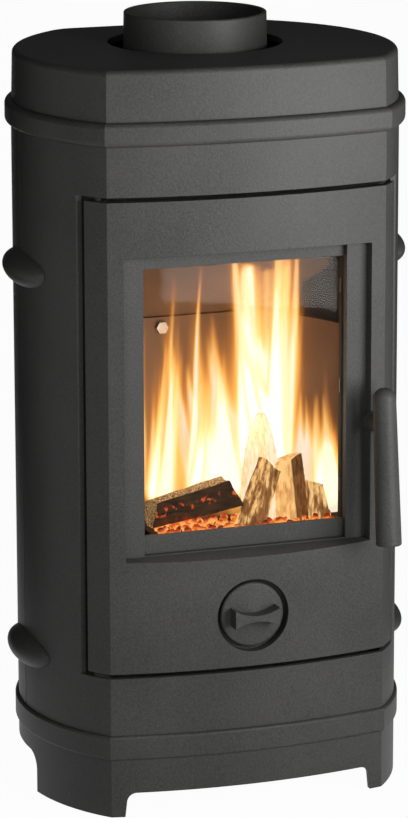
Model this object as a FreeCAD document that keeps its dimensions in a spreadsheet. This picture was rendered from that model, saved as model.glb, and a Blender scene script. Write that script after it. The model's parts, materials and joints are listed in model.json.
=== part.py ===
"""Cast iron wood stove: drum-shaped casing with a bowed front, hinged glazed door, air knob and flue collar.

Frame: +Z up, floor at Z = 0, the front faces -Y, +X to the viewer's right. Millimetres.
"""
import FreeCAD, Part
import math
import os
import Sketcher
from FreeCAD import Placement, Rotation, Vector

SIZES = {
    # Plan of the drum: one round wall, a bowed front, a flat back with round corners
    "drum_radius": 218.0,
    "drum_y": 10.6,
    "front_radius": 712.5,
    "bow_inset": 53.7,
    "back_inset": 33.1,
    "back_corner": 50.0,
    "flue_y": 44.5,
    # Heights of the stack
    "plinth_height": 95.3,
    "casing_height": 666.8,
    "lid_height": 82.9,
    "collar_rise": 34.4,
    # Clearances
    "overrun": 40.0,
    "seat_gap": 0.3,
    "fit_gap": 0.5,
    "running_gap": 0.05,
    # Plinth
    "plinth_wall": 7.0,
    "lower_band_height": 27.7,
    "lower_band_proud": 3.7,
    "lower_band_round": 3.0,
    "plinth_ledge_width": 14.0,
    "plinth_ledge_thick": 8.0,
    "front_arch_inset": 15.27,
    "front_arch_height": 28.0,
    "front_arch_draft": 3.0,
    "front_arch_round": 11.0,
    "side_arch_ahead": 32.1,
    "side_arch_back": 34.9,
    "side_arch_height": 46.0,
    "side_arch_round": 20.0,
    "rear_arch_round": 6.0,
    "back_arch_half": 84.0,
    # Casing
    "casing_wall": 6.0,
    "opening_rise": 66.7,
    "opening_drop": 55.7,
    "cheek_ahead": 6.0,
    "seam_groove_depth": 1.5,
    "seam_groove_half": 0.8,
    "top_ledge_width": 10.0,
    "top_ledge_thick": 8.0,
    "top_plate_drop": 4.0,
    "top_plate_thick": 8.0,
    "bottom_plate_thick": 6.0,
    # Seam lugs, their bolts and the bosses outside them
    "seam_lug_depth": 24.0,
    "seam_lug_thick": 10.0,
    "seam_lug_height": 32.0,
    "seam_bolt_radius": 4.0,
    "seam_bolt_inset": 14.0,
    "bolt_head_height": 5.5,
    "bolt_head_radius": 7.5,
    "bolt_tail": 9.0,
    "boss_rise": 69.7,
    "boss_drop": 156.1,
    "boss_sunk": 13.0,
    "boss_proud": 16.0,
    "boss_half_length": 64.0,
    "boss_half_height": 22.4,
    # Door frame, the flat seat that the door seal closes on
    "frame_depth": 58.2,
    "frame_thick": 8.0,
    "frame_rise": 6.3,
    "frame_drop": 20.3,
    "frame_opening_inset": 18.0,
    "frame_opening_lap": 16.0,
    "frame_lug_width": 23.0,
    "frame_lug_thick": 12.0,
    "frame_lug_height": 26.0,
    "frame_screw_edge": 13.0,
    "frame_screw_inset": 22.0,
    "frame_screw_radius": 3.0,
    "screw_head_radius": 5.5,
    "screw_head_height": 3.5,
    # Flue collar
    "flue_radius": 75.5,
    "flue_stop": 5.0,
    "collar_wall": 5.0,
    "collar_draft": 2.2,
    "collar_flange_radius": 96.0,
    "collar_flange_thick": 8.0,
    "collar_bolt_circle": 88.5,
    "collar_bolt_radius": 2.5,
    "collar_head_radius": 5.0,
    "collar_rim_round": 1.5,
    # Lid
    "lid_wall": 8.0,
    "lid_top_thick": 7.0,
    "lid_taper": 1.4,
    "lid_round": 6.0,
    "upper_band_height": 26.5,
    "upper_band_proud": 7.1,
    "upper_band_round": 6.0,
    "lid_hole_radius": 98.9,
    # Firebox
    "hearth_below": 18.0,
    "hearth_thick": 8.0,
    "hearth_ledge_depth": 12.0,
    "hearth_lug_width": 30.0,
    "hearth_lug_reach": 24.0,
    "hearth_lug_y": 60.0,
    "hearth_lug_x": 70.0,
    "grate_half": 85.0,
    "grate_setback": 65.5,
    "grate_back_inset": 80.5,
    "grate_rebate": 8.0,
    "grate_sunk": 4.0,
    "grate_thick": 12.0,
    "grate_slot": 9.0,
    "grate_pitch": 19.0,
    "grate_border": 16.0,
    "lining_gap": 8.0,
    "lining_thick": 10.0,
    "lining_height": 220.0,
    "lining_split_inset": 75.5,
    "lining_setback": 11.5,
    "lining_bolt_drop": 12.0,
    "lining_boss_radius": 9.0,
    "baffle_thick": 10.0,
    "baffle_setback": 55.5,
    "baffle_drop": 122.1,
    "baffle_back_inset": 19.5,
    "baffle_inset": 36.0,
    "baffle_peg_radius": 8.0,
    "baffle_peg_y": 40.0,
    "baffle_peg_length": 48.0,
    # Ash pan and its rails
    "pan_side_gap": 29.0,
    "pan_setback": 25.5,
    "pan_back_inset": 55.5,
    "pan_rise": 4.0,
    "pan_height": 58.0,
    "pan_sheet": 2.0,
    "pan_pull_half": 24.0,
    "pan_pull_reach": 12.0,
    "pan_pull_thick": 4.0,
    "rail_width": 22.0,
    "rail_sheet": 4.0,
    # Door
    "door_wall": 7.0,
    "door_gap_low": 5.3,
    "door_gap_high": 5.2,
    "wing_ahead": 15.5,
    "rib_inset": 19.27,
    "rib_width": 12.0,
    "rib_rise": 2.7,
    "rib_drop": 9.2,
    "seal_gap": 6.0,
    "groove_width": 8.0,
    "groove_depth": 6.0,
    "well_margin": 7.5,
    "recess_inset": 19.77,
    "recess_rise": 130.7,
    "recess_drop": 64.7,
    "recess_depth": 25.8,
    "recess_floor": 7.0,
    "recess_flare": 5.0,
    "recess_side": 23.5,
    "window_rim": 1.0,
    # Hinge
    "hinge_inset": 10.5,
    "hinge_ahead": 18.4,
    "hinge_boss_radius": 9.5,
    "hinge_boss_height": 24.0,
    "hinge_pin_radius": 4.0,
    "hinge_pin_depth": 18.0,
    # Latch and handle
    "latch_inset": 13.27,
    "latch_rise": 136.0,
    "latch_boss_radius": 12.0,
    "spindle_radius": 5.0,
    "tongue_half": 5.0,
    "tongue_hub": 7.8,
    "tongue_thick": 5.0,
    "tongue_gap": 0.7,
    "tongue_angle": 25.0,
    "keeper_width": 11.4,
    "keeper_below": 26.0,
    "keeper_above": 1.5,
    "keeper_wall": 4.5,
    "keeper_screw_radius": 2.0,
    "grip_standoff": 31.55,
    "grip_up": 45.0,
    "grip_down": 133.0,
    "grip_top_radius": 13.0,
    "grip_end_radius": 14.6,
    "grip_end_round": 2.5,
    "grip_tilt": 6.0,
    "grip_neck_radius": 10.8,
    "grip_pin_radius": 1.5,
    "grip_pin_inset": 14.0,
    # Air knob
    "knob_rise": 58.7,
    "knob_pocket_radius": 42.0,
    "knob_pocket_depth": 12.0,
    "knob_boss_wall": 6.0,
    "knob_floor_thick": 8.0,
    "knob_radius": 37.2,
    "knob_edge": 8.0,
    "knob_round": 3.0,
    "knob_dome": 4.0,
    "knob_grip_half": 26.0,
    "knob_grip_end": 10.5,
    "knob_grip_waist": 3.4,
    "knob_grip_proud": 15.0,
    "air_spindle_radius": 4.0,
    "port_radius": 6.0,
    "port_circle": 26.0,
    "port_step": 29.0,
    "shutter_radius": 36.0,
    "shutter_thick": 2.5,
    "shutter_nut_radius": 7.0,
    "shutter_nut_height": 5.0,
    # Glazing
    "glass_frame_lap": 10.0,
    "glass_frame_margin": 8.0,
    "glass_frame_thick": 5.6,
    "sill_height": 21.5,
    "top_strip_height": 14.5,
    "gasket_thick": 2.0,
    "gasket_width": 4.5,
    "glass_lap": 3.0,
    "glass_margin": 12.0,
    "glass_thick": 4.0,
    "clip_sheet": 1.5,
    "clip_foot": 6.0,
    "clip_grip": 4.0,
    "clip_height": 16.0,
    "clip_screw_radius": 1.5,
    "clip_head_radius": 2.3,
    "clip_head_height": 1.6,
    "glass_screw_inset": 13.0,
}

doc = FreeCAD.newDocument("stove")
sheet = doc.addObject("Spreadsheet::Sheet", "Sizes")
for row, (alias, number) in enumerate(SIZES.items(), start=1):
    sheet.set(f"A{row}", alias)
    sheet.set(f"B{row}", str(number))
    sheet.setAlias(f"B{row}", alias)
doc.recompute()


class Size:
    """A length with its value now and the sheet expression that it stays bound to."""

    def __init__(self, value, text):
        self.value = value
        self.text = text

    def __add__(self, other):
        return combine(self, "+", other)

    def __radd__(self, other):
        return combine(other, "+", self)

    def __sub__(self, other):
        return combine(self, "-", other)

    def __rsub__(self, other):
        return combine(other, "-", self)

    def __mul__(self, other):
        return combine(self, "*", other)

    def __rmul__(self, other):
        return combine(other, "*", self)

    def __truediv__(self, other):
        return combine(self, "/", other)

    def __neg__(self):
        return combine(-1, "*", self)


def as_size(number):
    return number if isinstance(number, Size) else Size(float(number), repr(number))


def combine(first, sign, second):
    first, second = as_size(first), as_size(second)
    results = {
        "+": lambda a, b: a + b,
        "-": lambda a, b: a - b,
        "*": lambda a, b: a * b,
        "/": lambda a, b: a / b,
    }
    return Size(results[sign](first.value, second.value), f"({first.text} {sign} {second.text})")


def root(size):
    return Size(math.sqrt(size.value), f"sqrt({size.text})")


def cosine(angle):
    return Size(math.cos(math.radians(angle.value)), f"cos({angle.text} * 1 deg)")


def sine(angle):
    return Size(math.sin(math.radians(angle.value)), f"sin({angle.text} * 1 deg)")


class Named:
    """Sheet sizes by their alias."""

    def __getattr__(self, alias):
        return Size(float(sheet.get(alias)), f"Sizes.{alias}")


S = Named()
ZERO = Size(0.0, "0")



def chord(radius, offset):
    """Half width of a circle at an offset from its middle."""
    return root(radius * radius - offset * offset)


# Places that several pieces share: heights from the floor up
casing_top = S.plinth_height + S.casing_height
lid_top = casing_top + S.lid_height
collar_top = lid_top + S.collar_rise
top_plate_top = casing_top - S.top_plate_drop
top_plate_low = top_plate_top - S.top_plate_thick
bottom_plate_top = S.plinth_height + S.bottom_plate_thick
boss_low_z = S.plinth_height + S.boss_rise
boss_high_z = casing_top - S.boss_drop
frame_low = S.plinth_height + S.frame_rise
frame_high = casing_top - S.frame_drop
opening_low = S.plinth_height + S.opening_rise
opening_high = casing_top - S.opening_drop
door_low = opening_low + S.door_gap_low
door_high = opening_high - S.door_gap_high
rib_low = door_low + S.rib_rise
rib_high = door_high - S.rib_drop
frame_opening_low = rib_low + S.frame_opening_lap
frame_opening_high = rib_high - S.frame_opening_lap
recess_low = door_low + S.recess_rise
recess_high = door_high - S.recess_drop
sight_low = recess_low + S.sill_height
sight_high = recess_high - S.top_strip_height
knob_z = door_low + S.knob_rise
latch_z = recess_low + S.latch_rise
hearth_top = recess_low - S.hearth_below
hearth_low = hearth_top - S.hearth_thick
lining_top = hearth_top + S.lining_height
baffle_front_z = casing_top - S.baffle_drop
pan_low = frame_opening_low + S.pan_rise

# Places in plan: how far each plane reaches from the origin, to the front or to the back
front_reach = S.drum_radius - S.drum_y - S.bow_inset
back_reach = S.drum_radius + S.drum_y - S.back_inset
frame_reach = front_reach - S.frame_depth
cheek_reach = frame_reach + S.cheek_ahead
wing_reach = frame_reach + S.wing_ahead
rib_reach = frame_reach + S.seal_gap
hinge_reach = frame_reach + S.hinge_ahead
recess_reach = front_reach - S.recess_depth
lining_front = frame_reach - S.lining_setback
lining_split = back_reach - S.lining_split_inset
baffle_front_y = frame_reach - S.baffle_setback
baffle_back_y = back_reach - S.baffle_back_inset
grate_front = frame_reach - S.grate_setback
grate_back = back_reach - S.grate_back_inset
pan_front = frame_reach - S.pan_setback
pan_back = back_reach - S.pan_back_inset
frame_back = S.frame_thick - frame_reach
lining_grow = -(S.casing_wall + S.lining_gap)
lining_back = back_reach + lining_grow - S.lining_thick

# Half widths, from the crease where the bowed front meets the round side
front_centre = S.front_radius - front_reach
crease_y = (
    (S.front_radius * S.front_radius - S.drum_radius * S.drum_radius
     - front_centre * front_centre + S.drum_y * S.drum_y) / (2 * (S.drum_y - front_centre))
)
crease_x = chord(S.drum_radius, crease_y - S.drum_y)
front_arch_half = crease_x - S.front_arch_inset
rib_half = crease_x - S.rib_inset
frame_opening_half = rib_half - S.frame_opening_inset
pan_half = frame_opening_half - S.pan_side_gap
recess_half = crease_x - S.recess_inset
window_half = recess_half - S.recess_side
sight_half = window_half + S.fit_gap
glass_half = sight_half + S.glass_lap
glass_frame_half = window_half + S.glass_frame_lap
latch_x = crease_x - S.latch_inset
hinge_x = chord(S.drum_radius - S.hinge_inset, S.drum_y + hinge_reach)
frame_half = chord(S.drum_radius - S.casing_wall - S.fit_gap, S.drum_y + frame_reach)
frame_lug_inner = frame_half - S.frame_lug_width
frame_screw_x = frame_half - S.frame_screw_edge
keeper_right = chord(S.drum_radius - S.casing_wall, S.drum_y + cheek_reach) - S.fit_gap
keeper_x = keeper_right - S.keeper_width
tongue_length = keeper_right - S.keeper_wall - S.tongue_gap - latch_x

# The air knob's pocket and the glazing, one behind the other
knob_floor = S.knob_pocket_depth - front_reach
knob_inner = knob_floor + S.knob_floor_thick
recess_back = S.recess_floor - recess_reach
glass_frame_front = recess_back + S.seat_gap
gasket_front = glass_frame_front + S.glass_frame_thick
glass_front = gasket_front + S.gasket_thick
glass_back = glass_front + S.glass_thick
sides = (-1, 1)
DOME_SHARE = 0.96
CLIP_SHARE = 0.38
TOUCH = 0.01
FULL_TURN = 360.0


def bind(thing, path, size):
    thing.setExpression(path, size.text)


def body(label, x=ZERO, y=ZERO, z=ZERO, turn=None):
    made = doc.addObject("PartDesign::Body", label)
    made.Label = label
    made.Placement = Placement(Vector(x.value, y.value, z.value), turn or Rotation())
    for axis, size in zip("xyz", (x, y, z)):
        bind(made, f"Placement.Base.{axis}", size)
    return made


def sketch(owner, role, offset=ZERO):
    """A sketch on one of the body's own planes, moved along that plane's normal."""
    made = owner.newObject("Sketcher::SketchObject", "Sketch")
    plane = next(f for f in owner.Origin.OriginFeatures if f.Role == role)
    made.AttachmentSupport = [(plane, "")]
    made.MapMode = "FlatFace"
    made.AttachmentOffset = Placement(Vector(0, 0, offset.value), Rotation())
    bind(made, "AttachmentOffset.Base.z", offset)
    return made


def constrain(drawing, rules):
    """Adds constraints; a rule that ends in a Size is bound to the sheet."""
    for rule in rules:
        if isinstance(rule[-1], Size):
            index = drawing.addConstraint(Sketcher.Constraint(*rule[:-1], rule[-1].value))
            bind(drawing, f"Constraints[{index}]", rule[-1])
        else:
            drawing.addConstraint(Sketcher.Constraint(*rule))


def put(geo, pos, x=None, y=None):
    """Rules that hold a point at x and y from the sketch's origin."""
    rules = []
    for kind, axis, size in (("DistanceX", -2, x), ("DistanceY", -1, y)):
        if size is None:
            continue
        if size.value == 0:
            rules.append(("PointOnObject", geo, pos, axis))
        else:
            rules.append((kind, -1, 1, geo, pos, size))
    return rules


def polygon(drawing, corners):
    """A closed outline of straight lines through (x, y) corners given as sizes."""
    base = drawing.GeometryCount
    count = len(corners)
    points = [Vector(x.value, y.value, 0) for x, y in corners]
    lines = [Part.LineSegment(points[i], points[(i + 1) % count]) for i in range(count)]
    drawing.addGeometry(lines, False)
    rules = [("Coincident", base + i, 2, base + (i + 1) % count, 1) for i in range(count)]
    for i, (x, y) in enumerate(corners):
        rules += put(base + i, 1, x, y)
    constrain(drawing, rules)
    return drawing


def rectangle(drawing, left, right, low, high):
    return polygon(drawing, [(left, low), (right, low), (right, high), (left, high)])


def circle(drawing, x, y, radius):
    geo = drawing.GeometryCount
    drawing.addGeometry(Part.Circle(Vector(x.value, y.value, 0), Vector(0, 0, 1), radius.value), False)
    constrain(drawing, put(geo, 3, x, y) + [("Radius", geo, radius)])
    return drawing


def arc(x, y, radius, start, end):
    return Part.ArcOfCircle(Part.Circle(Vector(x, y, 0), Vector(0, 0, 1), radius), start, end)


def outline(drawing, grow=ZERO):
    """The drum's plan, grown or shrunk: bowed front, round sides, round back corners, flat back."""
    drum, front = S.drum_radius + grow, S.front_radius + grow
    back, corner = back_reach + grow, S.back_corner + grow
    dy, fy = S.drum_y.value, front_centre.value
    crease_y = (front.value**2 - drum.value**2 - fy**2 + dy**2) / (2 * (dy - fy))
    crease_x = math.sqrt(drum.value**2 - (crease_y - dy) ** 2)
    corner_y = back.value - corner.value
    corner_x = math.sqrt((drum.value - corner.value) ** 2 - (corner_y - dy) ** 2)
    turn = math.atan2(corner_y - dy, corner_x)
    side_start = math.atan2(crease_y - dy, crease_x)
    front_start = math.atan2(crease_y - fy, -crease_x)
    base = drawing.GeometryCount
    front_arc, right, right_corner, flat, left_corner, left = range(base, base + 6)
    drawing.addGeometry(
        [
            arc(0, fy, front.value, front_start, -math.pi - front_start),
            arc(0, dy, drum.value, side_start, turn),
            arc(corner_x, corner_y, corner.value, turn, math.pi / 2),
            Part.LineSegment(Vector(corner_x, back.value, 0), Vector(-corner_x, back.value, 0)),
            arc(-corner_x, corner_y, corner.value, math.pi / 2, math.pi - turn),
            arc(0, dy, drum.value, math.pi - turn, math.pi - side_start),
        ],
        False,
    )
    constrain(
        drawing,
        [
            ("Coincident", front_arc, 2, right, 1),
            ("Tangent", right, 2, right_corner, 1),
            ("Tangent", right_corner, 2, flat, 1),
            ("Tangent", flat, 2, left_corner, 1),
            ("Tangent", left_corner, 2, left, 1),
            ("Coincident", left, 2, front_arc, 1),
            ("Horizontal", flat),
            ("Coincident", left, 3, right, 3),
            ("Equal", left, right),
            ("Equal", left_corner, right_corner),
            ("Radius", front_arc, front),
            ("Radius", right, drum),
            ("Radius", right_corner, corner),
        ]
        + put(front_arc, 3, ZERO, front_centre)
        + put(right, 3, ZERO, S.drum_y)
        + put(flat, 1, None, back),
    )
    return drawing


def bowed_strip(drawing, half, back_y, grow):
    """A plan with the front's bow ahead, straight ends at x = +-half and a straight back."""
    radius = S.front_radius + grow
    start = math.atan2(-math.sqrt(radius.value**2 - half.value**2), -half.value)
    end_y = front_centre.value - math.sqrt(radius.value**2 - half.value**2)
    base = drawing.GeometryCount
    bow, right, back, left = range(base, base + 4)
    near_right, far_right = Vector(half.value, end_y, 0), Vector(half.value, back_y.value, 0)
    near_left, far_left = Vector(-half.value, end_y, 0), Vector(-half.value, back_y.value, 0)
    drawing.addGeometry(
        [
            arc(0, front_centre.value, radius.value, start, -math.pi - start),
            Part.LineSegment(near_right, far_right),
            Part.LineSegment(far_right, far_left),
            Part.LineSegment(far_left, near_left),
        ],
        False,
    )
    constrain(
        drawing,
        [
            ("Coincident", bow, 2, right, 1),
            ("Coincident", right, 2, back, 1),
            ("Coincident", back, 2, left, 1),
            ("Coincident", left, 2, bow, 1),
            ("Vertical", right),
            ("Vertical", left),
            ("Radius", bow, radius),
        ]
        + put(bow, 3, ZERO, front_centre)
        + put(back, 1, half, back_y)
        + put(back, 2, -half, back_y),
    )
    return drawing


def feature(owner, kind, profile, **settings):
    made = owner.newObject(f"PartDesign::{kind}", kind)
    made.Profile = profile
    for name, value in settings.items():
        if isinstance(value, Size):
            bind(made, name, value)
        else:
            setattr(made, name, value)
    return made


def pad(owner, profile, length, reverse=False):
    return feature(owner, "Pad", profile, Length=length, Reversed=reverse)


def pocket(owner, profile, length, reverse=False):
    """Cuts against the sketch's normal, or along it when reversed, and makes sure that it cut."""
    doc.recompute()
    before = owner.Shape.Volume
    made = feature(owner, "Pocket", profile, Length=length, Reversed=reverse)
    doc.recompute()
    if owner.Shape.Volume > before - TOUCH:
        raise ValueError(f"a pocket in {owner.Label} cuts nothing")
    return made


def block(owner, left, right, front, back, low, high):
    profile = rectangle(sketch(owner, "XY_Plane", low), left, right, front, back)
    return pad(owner, profile, high - low)


def cut_block(owner, left, right, front, back, low, high):
    profile = rectangle(sketch(owner, "XY_Plane", low), left, right, front, back)
    return pocket(owner, profile, high - low, reverse=True)


def post(owner, x, y, radius, low, high):
    return pad(owner, circle(sketch(owner, "XY_Plane", low), x, y, radius), high - low)


def bore(owner, x, y, radius, low, high):
    profile = circle(sketch(owner, "XY_Plane", low), x, y, radius)
    return pocket(owner, profile, high - low, reverse=True)


def stub(owner, x, z, radius, front, back):
    """A round pad along Y from front to back."""
    return pad(owner, circle(sketch(owner, "XZ_Plane", -back), x, z, radius), back - front)


def drill(owner, x, z, radius, front, back):
    """A round cut along Y from front to back."""
    return pocket(owner, circle(sketch(owner, "XZ_Plane", -front), x, z, radius), back - front)


def revolve(owner, corners):
    """A turned piece about the body's own Z axis from (radius, z) corners."""
    profile = polygon(sketch(owner, "XZ_Plane"), corners)
    return feature(owner, "Revolution", profile, ReferenceAxis=(profile, ["V_Axis"]), Angle=FULL_TURN)


def fillet(owner, radius, chosen):
    """Rounds the edges of the body's tip that the test picks."""
    doc.recompute()
    base = owner.Tip
    names = [f"Edge{i}" for i, edge in enumerate(base.Shape.Edges, start=1) if chosen(edge)]
    if not names:
        raise ValueError(f"no edge to round on {owner.Label}")
    made = owner.newObject("PartDesign::Fillet", "Fillet")
    made.Base = (base, names)
    bind(made, "Radius", radius)
    return made


def level(edge, z):
    """True for an edge that lies flat at height z."""
    box = edge.BoundBox
    return abs(box.ZMin - z.value) < TOUCH and abs(box.ZMax - z.value) < TOUCH


def outside(edge, grow):
    """True for an edge whose middle lies on the drum's plan grown by this much, or beyond it."""
    point = edge.valueAt((edge.FirstParameter + edge.LastParameter) / 2)
    reach = math.hypot(point.x, point.y - S.drum_y.value) - S.drum_radius.value
    bow = math.hypot(point.x, point.y - front_centre.value) - S.front_radius.value
    return max(reach, bow, point.y - back_reach.value) > grow.value - TOUCH


def solid(kind, label, x=ZERO, y=ZERO, z=ZERO, turn=None, **sizes):
    """A primitive solid with bound sizes and place."""
    made = doc.addObject(f"Part::{kind}", label)
    made.Label = label
    made.Placement = Placement(Vector(x.value, y.value, z.value), turn or Rotation())
    for axis, size in zip("xyz", (x, y, z)):
        bind(made, f"Placement.Base.{axis}", size)
    for name, size in sizes.items():
        if isinstance(size, Size):
            bind(made, name, size)
        else:
            setattr(made, name, size)
    return made


def boolean(kind, label, base, tool):
    made = doc.addObject(f"Part::{kind}", label)
    made.Label = label
    made.Base = base
    made.Tool = tool
    return made


def group(label, members):
    made = doc.addObject("Part::Compound", label)
    made.Label = label
    made.Links = members
    return made


ALONG_Y = Rotation(Vector(1, 0, 0), -90)
AGAINST_Y = Rotation(Vector(1, 0, 0), 90)
DOWN = Rotation(Vector(1, 0, 0), 180)


def hex_bolt(label, x, y, z, turn, shank, length, head_radius, head_height):
    """A hexagon bolt whose head stands on (x, y, z) and whose shank runs along the turned Z axis."""
    direction = turn.multVec(Vector(0, 0, 1))
    head_x, head_y, head_z = (
        place - head_height * component if component else place
        for place, component in zip((x, y, z), (round(direction.x), round(direction.y), round(direction.z)))
    )
    head = solid(
        "Prism", f"{label}_head", head_x, head_y, head_z, turn,
        Polygon=6, Circumradius=head_radius, Height=head_height,
    )
    rod = solid("Cylinder", f"{label}_rod", x, y, z, turn, Radius=shank, Height=length)
    return boolean("Fuse", label, head, rod)


def ring_nut(label, x, y, z, turn, hole, radius, height):
    """A hexagon nut that starts at (x, y, z) and runs along the turned Z axis."""
    blank = solid("Prism", f"{label}_blank", x, y, z, turn, Polygon=6, Circumradius=radius, Height=height)
    hollow = solid("Cylinder", f"{label}_hole", x, y, z, turn, Radius=hole, Height=height)
    return boolean("Cut", label, blank, hollow)


def make_plinth():
    made = body("plinth")
    band_low = S.plinth_height - S.lower_band_height
    pad(made, outline(sketch(made, "XY_Plane")), S.plinth_height)
    pad(made, outline(sketch(made, "XY_Plane", band_low), S.lower_band_proud), S.lower_band_height)
    fillet(
        made, S.lower_band_round,
        lambda e: (level(e, S.plinth_height) or level(e, band_low)) and outside(e, S.lower_band_proud),
    )
    ledge_low = S.plinth_height - S.plinth_ledge_thick
    pocket(made, outline(sketch(made, "XY_Plane", ZERO), -S.plinth_wall), ledge_low, reverse=True)
    inner = -(S.plinth_wall + S.plinth_ledge_width)
    pocket(made, outline(sketch(made, "XY_Plane", S.plinth_height), inner), S.plinth_height)
    half, crown = front_arch_half, front_arch_half - S.front_arch_draft
    arch = [(-half, ZERO), (half, ZERO), (crown, S.front_arch_height), (-crown, S.front_arch_height)]
    front = polygon(sketch(made, "XZ_Plane", front_reach + S.overrun), arch)
    pocket(made, front, front_reach + S.overrun)
    fillet(made, S.front_arch_round, lambda e: level(e, S.front_arch_height) and e.BoundBox.XLength < TOUCH)
    back = rectangle(
        sketch(made, "XZ_Plane", -back_reach - S.overrun),
        -S.back_arch_half, S.back_arch_half, ZERO, S.side_arch_height,
    )
    pocket(made, back, back_reach, reverse=True)
    wide = S.drum_radius + S.overrun
    rear_y = back_reach - S.side_arch_back
    side = rectangle(
        sketch(made, "YZ_Plane", -wide),
        S.drum_y - S.side_arch_ahead, rear_y, ZERO, S.side_arch_height,
    )
    pocket(made, side, 2 * wide, reverse=True)
    for radius, at_rear in ((S.side_arch_round, False), (S.rear_arch_round, True)):
        fillet(made, radius, lambda e: level(e, S.side_arch_height) and e.Length < 2 * S.plinth_wall.value
               and (abs(e.CenterOfMass.y - rear_y.value) < S.fit_gap.value) == at_rear)
    return made


def make_bottom_plate():
    made = body("bottom_plate")
    profile = outline(sketch(made, "XY_Plane", S.plinth_height), -(S.casing_wall + S.fit_gap))
    pad(made, profile, S.bottom_plate_thick)
    return made


def casing_shell(made):
    """The drum's wall with the ledge that the top plate lies on."""
    skin = outline(sketch(made, "XY_Plane", S.plinth_height))
    outline(skin, -S.casing_wall)
    pad(made, skin, S.casing_height)
    ledge = outline(sketch(made, "XY_Plane", top_plate_low - S.top_ledge_thick), -S.casing_wall / 2)
    outline(ledge, -(S.casing_wall + S.top_ledge_width))
    pad(made, ledge, S.top_ledge_thick)


def seam_groove(made, front, back):
    """A shallow notch outside along the upright seam at each side."""
    outer, inner = S.drum_radius + S.overrun, S.drum_radius - S.seam_groove_depth
    cut_block(made, inner, outer, front, back, S.plinth_height, casing_top)
    cut_block(made, -outer, -inner, front, back, S.plinth_height, casing_top)


def seam_lugs(made, front, back):
    """Bored lugs inside the seam, level with the bosses outside."""
    outer = S.drum_radius - S.casing_wall / 2
    inner = S.drum_radius - S.seam_lug_depth - S.casing_wall
    bolt_x = S.drum_radius - S.casing_wall - S.seam_bolt_inset
    for z in (boss_low_z, boss_high_z):
        low, high = z - S.seam_lug_height / 2, z + S.seam_lug_height / 2
        block(made, inner, outer, front, back, low, high)
        block(made, -outer, -inner, front, back, low, high)
        for side in sides:
            drill(made, side * bolt_x, z, S.seam_bolt_radius + S.running_gap, front, back)


def make_front_casting():
    made = body("front_casting")
    casing_shell(made)
    wide, deep = S.drum_radius + S.overrun, back_reach + S.overrun
    cut_block(made, -wide, wide, S.drum_y, deep, S.plinth_height, casing_top)
    cut_block(made, -wide, wide, -deep, -cheek_reach, opening_low, opening_high)
    seam_groove(made, S.drum_y - S.seam_groove_half, S.drum_y)
    seam_lugs(made, S.drum_y - S.seam_lug_thick, S.drum_y)
    behind = frame_back + S.seat_gap
    wall_x = chord(S.drum_radius - S.casing_wall / 2, S.drum_y - behind)
    for z in (frame_low + S.frame_screw_inset, frame_high - S.frame_screw_inset):
        low, high = z - S.frame_lug_height / 2, z + S.frame_lug_height / 2
        block(made, frame_lug_inner, wall_x, behind, behind + S.frame_lug_thick, low, high)
        block(made, -wall_x, -frame_lug_inner, behind, behind + S.frame_lug_thick, low, high)
        for side in sides:
            hole = S.frame_screw_radius + S.running_gap
            drill(made, side * frame_screw_x, z, hole, behind, behind + S.frame_lug_thick)
    lug = S.hinge_boss_height
    for low, high in ((opening_low - lug, opening_low), (opening_high, opening_high + lug)):
        post(made, -hinge_x, -hinge_reach, S.hinge_boss_radius, low, high)
        bore(made, -hinge_x, -hinge_reach, S.hinge_pin_radius + S.running_gap, low, high)
    return made


def baffle_slope():
    """Rise per length of the baffle's underside."""
    run = baffle_back_y + baffle_front_y
    return (baffle_front_z - lining_top) / run


def baffle_under(y):
    """Height of the baffle's underside at a place y."""
    return lining_top + S.seat_gap + (baffle_back_y - y) * baffle_slope()


def make_rear_casting():
    made = body("rear_casting")
    casing_shell(made)
    wide, deep = S.drum_radius + S.overrun, front_reach + S.overrun
    cut_block(made, -wide, wide, -deep, S.drum_y, S.plinth_height, casing_top)
    seam_groove(made, S.drum_y, S.drum_y + S.seam_groove_half)
    seam_lugs(made, S.drum_y, S.drum_y + S.seam_lug_thick)
    low = hearth_low - S.seat_gap - S.hearth_ledge_depth
    high = hearth_low - S.seat_gap
    offset = S.hearth_lug_y + S.hearth_lug_width - S.drum_y
    middle = S.drum_radius - S.casing_wall / 2
    wall_x = chord(middle, offset)
    wall_y = back_reach - S.casing_wall / 2
    inner, outer = S.hearth_lug_x, S.hearth_lug_x + S.hearth_lug_width
    for side in sides:
        edges = sorted((side * wall_x, side * (wall_x - S.hearth_lug_reach)), key=lambda e: e.value)
        block(made, *edges, S.hearth_lug_y, S.hearth_lug_y + S.hearth_lug_width, low, high)
        edges = sorted((side * inner, side * outer), key=lambda e: e.value)
        block(made, *edges, wall_y - S.hearth_lug_reach, wall_y, low, high)
    drop = (S.baffle_peg_radius + S.seat_gap) * root(1 + baffle_slope() * baffle_slope())
    peg_z = baffle_under(S.baffle_peg_y) - drop
    offset = S.baffle_peg_y + S.baffle_peg_radius - S.drum_y
    wall_x = chord(middle, offset)
    for start in (wall_x - S.baffle_peg_length, -wall_x):
        peg = circle(sketch(made, "YZ_Plane", start), S.baffle_peg_y, peg_z, S.baffle_peg_radius)
        pad(made, peg, S.baffle_peg_length)
    bolt_z = lining_top - S.lining_bolt_drop
    boss = back_reach + lining_grow + S.seat_gap
    stub(made, ZERO, bolt_z, S.lining_boss_radius, boss, wall_y)
    drill(made, ZERO, bolt_z, S.seam_bolt_radius + S.running_gap, boss, back_reach - S.casing_wall)
    return made


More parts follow.
